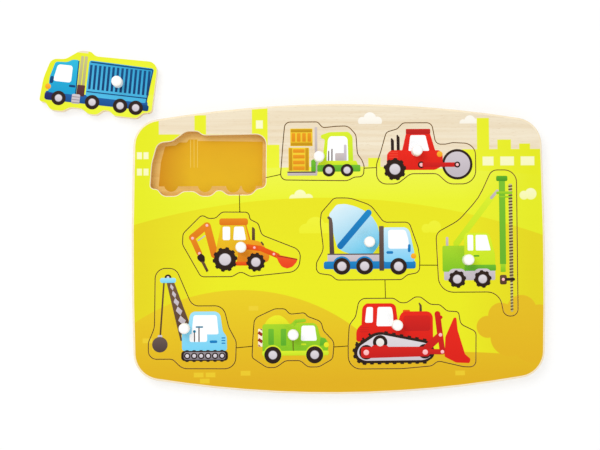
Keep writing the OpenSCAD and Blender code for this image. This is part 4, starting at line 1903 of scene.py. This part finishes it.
@dataclass
class DumpTruck(Vehicle):
    """A green dump truck loaded with sand."""

    name: str = "dump_truck"
    sand: Patch = Patch(
        Ink.SAND,
        ((-21.4, 6.6), (-1.6, 6.6), (-5.0, 11.0), (-9.0, 14.0), (-13.6, 14.0), (-18.0, 11.6)),
        1.3,
    )
    warning_bar: Block = Block(Ink.CREAM, (-25.4, -8.6), (-22.2, 4.2), 0.3)
    warning_stripes: Row = Row(Bar(Ink.RUST, (-25.3, -3.3), (-22.3, -5.4), 2.2, True), (0.0, 5.1), 2)
    warning_ends: Shapes = (
        Patch(Ink.RUST, ((-24.2, 4.1), (-22.4, 4.1), (-22.4, 2.9))),
        Patch(Ink.RUST, ((-25.2, -6.9), (-25.2, -8.5), (-23.4, -8.5))),
    )
    spoiler: Shapes = (
        Bar(Ink.LEAF, (-1.6, 5.6), (2.2, 9.4), 2.8), Bar(Ink.LEAF, (2.2, 9.6), (8.2, 10.2), 2.6),
    )
    bed: Patch = Patch(
        Ink.LEAF, ((-22.3, -12.0), (0.6, -12.0), (0.6, 7.6), (-21.6, 7.6), (-22.3, 6.0)), 0.9,
    )
    bed_panels: Shapes = (
        Block(Ink.GREEN, (-18.0, -7.4), (-14.0, 4.2), 0.8),
        Block(Ink.GREEN, (-9.0, -8.0), (-5.0, 4.2), 0.8),
    )
    cab: Patch = Patch(
        Ink.LEAF,
        (
            (-0.4, -12.0), (25.4, -12.0), (25.6, -6.0), (23.6, -2.8), (19.8, -2.0), (18.0, 5.6),
            (15.6, 8.2), (3.0, 8.2), (-0.4, 5.0),
        ),
        1.4,
    )
    fender: Patch = Patch(Ink.GREEN, ((19.2, -8.4), (24.8, -7.6), (23.6, -3.0), (20.0, -2.2)), 0.9)
    door_line: Bar = Bar(Ink.MOSS, (0.1, -11.4), (-0.1, -4.6), 0.9)
    handle: Bar = Bar(Ink.LIME, (6.4, -7.2), (9.0, -7.2), 1.2)
    window: Patch = Patch(Ink.WINDOW, ((5.6, -4.6), (17.4, -4.6), (15.8, 6.4), (6.2, 6.4)), 1.5)
    lamp: Spot = Spot(Ink.SAND, (24.2, -7.6), 1.9)
    bumper: Block = Block(Ink.LIME, (-22.6, -15.2), (25.8, -11.8), 1.2)
    fenders: Shapes = (Spot(Ink.LIME, (-14.8, -14.3), 6.7), Spot(Ink.LIME, (15.6, -14.3), 6.7))
    wheels: Shapes = (Wheel((-14.8, -14.8), 6.2, 2.95), Wheel((15.6, -14.8), 6.2, 2.95))


@dataclass
class Bulldozer(Vehicle):
    """A red bulldozer on tracks."""

    name: str = "bulldozer"
    blade: Patch = Patch(
        Ink.RED,
        (
            (41.8, 5.2), (43.6, 5.0), (44.4, -4.0), (49.6, -21.6), (53.6, -25.0), (52.8, -28.0),
            (43.0, -27.6), (34.6, -23.2), (35.4, -9.0),
        ),
        1.3,
    )
    arm: Shapes = (
        Bar(Ink.CRIMSON, (29.8, 7.8), (31.4, -6.0), 4.2),
        Bar(Ink.CRIMSON, (31.6, -6.8), (33.2, -19.6), 4.0),
    )
    arm_bump: Spot = Spot(Ink.CRIMSON, (32.2, 5.4), 1.3)
    exhaust: Patch = Patch(
        Ink.BROWN,
        ((16.6, 8.0), (18.5, 8.0), (18.4, 14.2), (16.8, 16.2), (16.0, 15.8), (16.8, 13.8)),
        0.3,
    )
    filler: Block = Block(Ink.SCARLET, (4.6, 8.0), (9.8, 11.0), 0.8)
    hood: Patch = Patch(
        Ink.RED, ((1.8, -13.0), (26.4, -13.0), (26.4, 7.0), (23.6, 9.8), (4.4, 9.8), (1.8, 5.8)), 2.0,
    )
    hood_panel: Block = Block(Ink.CRIMSON, (5.0, -4.4), (24.6, 6.8), 2.2)
    rear: Patch = Patch(
        Ink.RED, ((-29.6, -12.0), (-14.0, -12.0), (-14.0, 1.0), (-25.6, 1.0), (-29.4, -3.4)), 2.2,
    )
    cab: Patch = Patch(
        Ink.RED,
        (
            (-26.2, -10.0), (4.0, -10.0), (0.6, 4.0), (-0.6, 14.0), (-3.0, 15.8), (-22.4, 15.8),
            (-25.0, 12.6),
        ),
        1.9,
    )
    windows: Shapes = (
        Patch(Ink.WINDOW, ((-23.2, 1.8), (-17.4, 1.8), (-17.2, 13.2), (-21.8, 13.2)), 1.2),
        Patch(Ink.WINDOW, ((-14.8, -0.8), (-2.4, -0.8), (-2.6, 8.0), (-3.6, 13.2), (-13.8, 13.2)), 1.3),
    )
    vents: Row = Row(Bar(Ink.CRIMSON, (-27.0, -1.7), (-20.6, -1.7), 0.7), (0.0, -1.5), 3)
    lower_lugs: Row = Row(Block(Ink.TYRE, (-25.2, -28.6), (-22.4, -25.0), 0.6), (5.5, 0.05), 9)
    upper_lugs: Row = Row(Bar(Ink.TYRE, (-9.1, -5.5), (-6.5, -6.0), 2.4, True), (5.6, -1.1), 6)
    rear_lugs: Row = Row(Bar(Ink.TYRE, (-29.4, -13.8), (-28.2, -12.8), 2.6, True), (4.6, 3.1), 3)
    rear_sprocket: Wheel = Wheel((-23.2, -19.6), 9.2, 3.0, 11)
    track: Patch = Patch(
        Ink.TYRE,
        (
            (-31.6, -20.0), (-29.6, -14.4), (-17.6, -6.0), (-11.6, -4.8), (22.6, -11.6), (27.4, -17.0),
            (27.0, -23.4), (20.8, -27.4), (-24.0, -27.6), (-30.0, -24.8),
        ),
        2.2,
    )
    track_inside: Patch = Patch(
        Ink.HUB,
        (
            (-29.2, -19.8), (-27.2, -15.2), (-15.6, -7.6), (-11.4, -6.8), (21.6, -13.4), (25.6, -18.2),
            (24.6, -23.4), (19.6, -25.6), (-23.6, -25.8), (-28.2, -23.4),
        ),
        2.2,
    )
    frame_shadows: Shapes = (
        Spot(Ink.TYRE, (-22.3, -19.6), 5.3), Spot(Ink.TYRE, (20.4, -19.2), 5.3),
        Spot(Ink.TYRE, (-12.2, -12.5), 5.3),
    )
    frame_link: Patch = Patch(
        Ink.CRIMSON, ((-20.0, -17.0), (-5.0, -17.0), (-7.4, -14.6), (-17.0, -14.4)), 0.6,
    )
    track_frame: Patch = Patch(
        Ink.CRIMSON, ((-26.2, -23.6), (-22.0, -23.9), (24.0, -22.8), (24.0, -15.9), (-26.2, -15.7)), 3.4,
    )
    push_frame: Shapes = (
        Bar(Ink.CRIMSON, (31.2, -8.4), (21.8, -16.8), 5.2),
        Bar(Ink.CRIMSON, (33.0, -19.7), (22.0, -19.4), 3.8),
    )
    idler: Spot = Spot(Ink.PEARL, (-12.2, -12.5), 2.9)
    bolts: Shapes = (
        Spot(Ink.PINK, (-22.4, -19.8), 2.0), Spot(Ink.PINK, (20.6, -19.8), 1.9),
        Spot(Ink.PINK, (31.8, -7.4), 1.3), Spot(Ink.PINK, (33.1, -19.7), 1.3),
    )


# Studio
@dataclass
class Studio:
    """The table top, the soft light and the camera.

    Lengths are in metres, the camera's focal length is in pixels of an image of the given width, and the
    sensor is in mm.
    """

    floor_size: float = 30.0
    floor_drop: float = 0.0001
    lamp_place: Triple = (-0.8, 0.9, 1.6)
    lamp_size: float = 1.3
    lamp_power: float = 15.0
    fill_place: Triple = (0.7, -1.1, 1.1)
    fill_size: float = 1.4
    fill_power: float = 4.5
    room_light: float = 0.70
    shown_light: float = 1.0
    camera_place: Triple = (-0.0420, -0.0229, 0.9093)
    camera_right: Triple = (0.999864, -0.006845, 0.014973)
    camera_up: Triple = (0.006172, 0.998987, 0.044566)
    focal_pixels: float = 1233.31
    image_width: int = 600
    sensor_width: float = 36.0

    def build(self) -> None:
        """Sets up the floor, the light and the camera."""
        bpy.context.scene.view_settings.view_transform = "Standard"
        self._floor()
        self._lamp("soft_lamp", self.lamp_place, self.lamp_size, self.lamp_power)
        self._lamp("fill_lamp", self.fill_place, self.fill_size, self.fill_power)
        self._world()
        self._camera()

    def _floor(self) -> None:
        """Lays a wide white table top just under the board."""
        bpy.ops.object.select_all(action="DESELECT")
        bpy.ops.mesh.primitive_plane_add(size=self.floor_size, location=(0.0, 0.0, -self.floor_drop))
        floor = bpy.context.active_object
        floor.name = "table_top"
        bpy.ops.object.transform_apply(location=True, rotation=True, scale=True)
        floor.data.materials.append(TablePaper().material("table_paper"))

    @staticmethod
    def _lamp(name: str, place: Triple, size: float, power: float) -> None:
        """Hangs a large soft lamp that looks at the board's middle.

        Args:
            name: Name of the lamp.
            place: Where it hangs.
            size: Its diameter.
            power: Its power in watts.
        """
        bpy.ops.object.light_add(type="AREA", location=place)
        lamp = bpy.context.active_object
        lamp.name = name
        lamp.data.shape = "DISK"
        lamp.data.size = size
        lamp.data.energy = power
        lamp.rotation_euler = (-Vector(place)).to_track_quat("-Z", "Y").to_euler()

    def _world(self) -> None:
        """Fills the room with even light that shows as white."""
        recipe = Recipe(bpy.data.worlds.new("studio_room"))
        room, white = (
            recipe.add("ShaderNodeBackground", sockets={"Color": linear(WHITE), "Strength": strength})
            for strength in (self.room_light, self.shown_light)
        )
        shader = recipe.mix_shaders(room, white, recipe.seen())
        recipe.node("ShaderNodeOutputWorld", sockets={"Surface": shader})
        bpy.context.scene.world = recipe.owner

    def _camera(self) -> None:
        """Sets the camera over the board, a little to the left of its middle."""
        bpy.ops.object.camera_add()
        camera = bpy.context.active_object
        camera.name = "photo_camera"
        right = Vector(self.camera_right)
        up = Vector(self.camera_up)
        turned = Matrix((right, up, right.cross(up))).transposed().to_4x4()
        camera.matrix_world = Matrix.Translation(Vector(self.camera_place)) @ turned
        camera.data.sensor_fit = "HORIZONTAL"
        camera.data.sensor_width = self.sensor_width
        camera.data.lens = self.focal_pixels * self.sensor_width / self.image_width
        bpy.context.scene.camera = camera


def main() -> None:
    """Builds the studio, the board and the nine vehicles in order."""
    logging.basicConfig(level=logging.INFO, format="%(name)s: %(message)s")
    Studio().build()
    finishes = Finishes.make()
    Board().build(finishes)
    vehicles = (
        ContainerTruck(), Forklift(), RoadRoller(), DrillRig(), Backhoe(),
        CementMixer(), WreckingCrane(), DumpTruck(), Bulldozer(),
    )
    for vehicle in vehicles:
        vehicle.build(finishes)


if __name__ == "__main__":
    main()
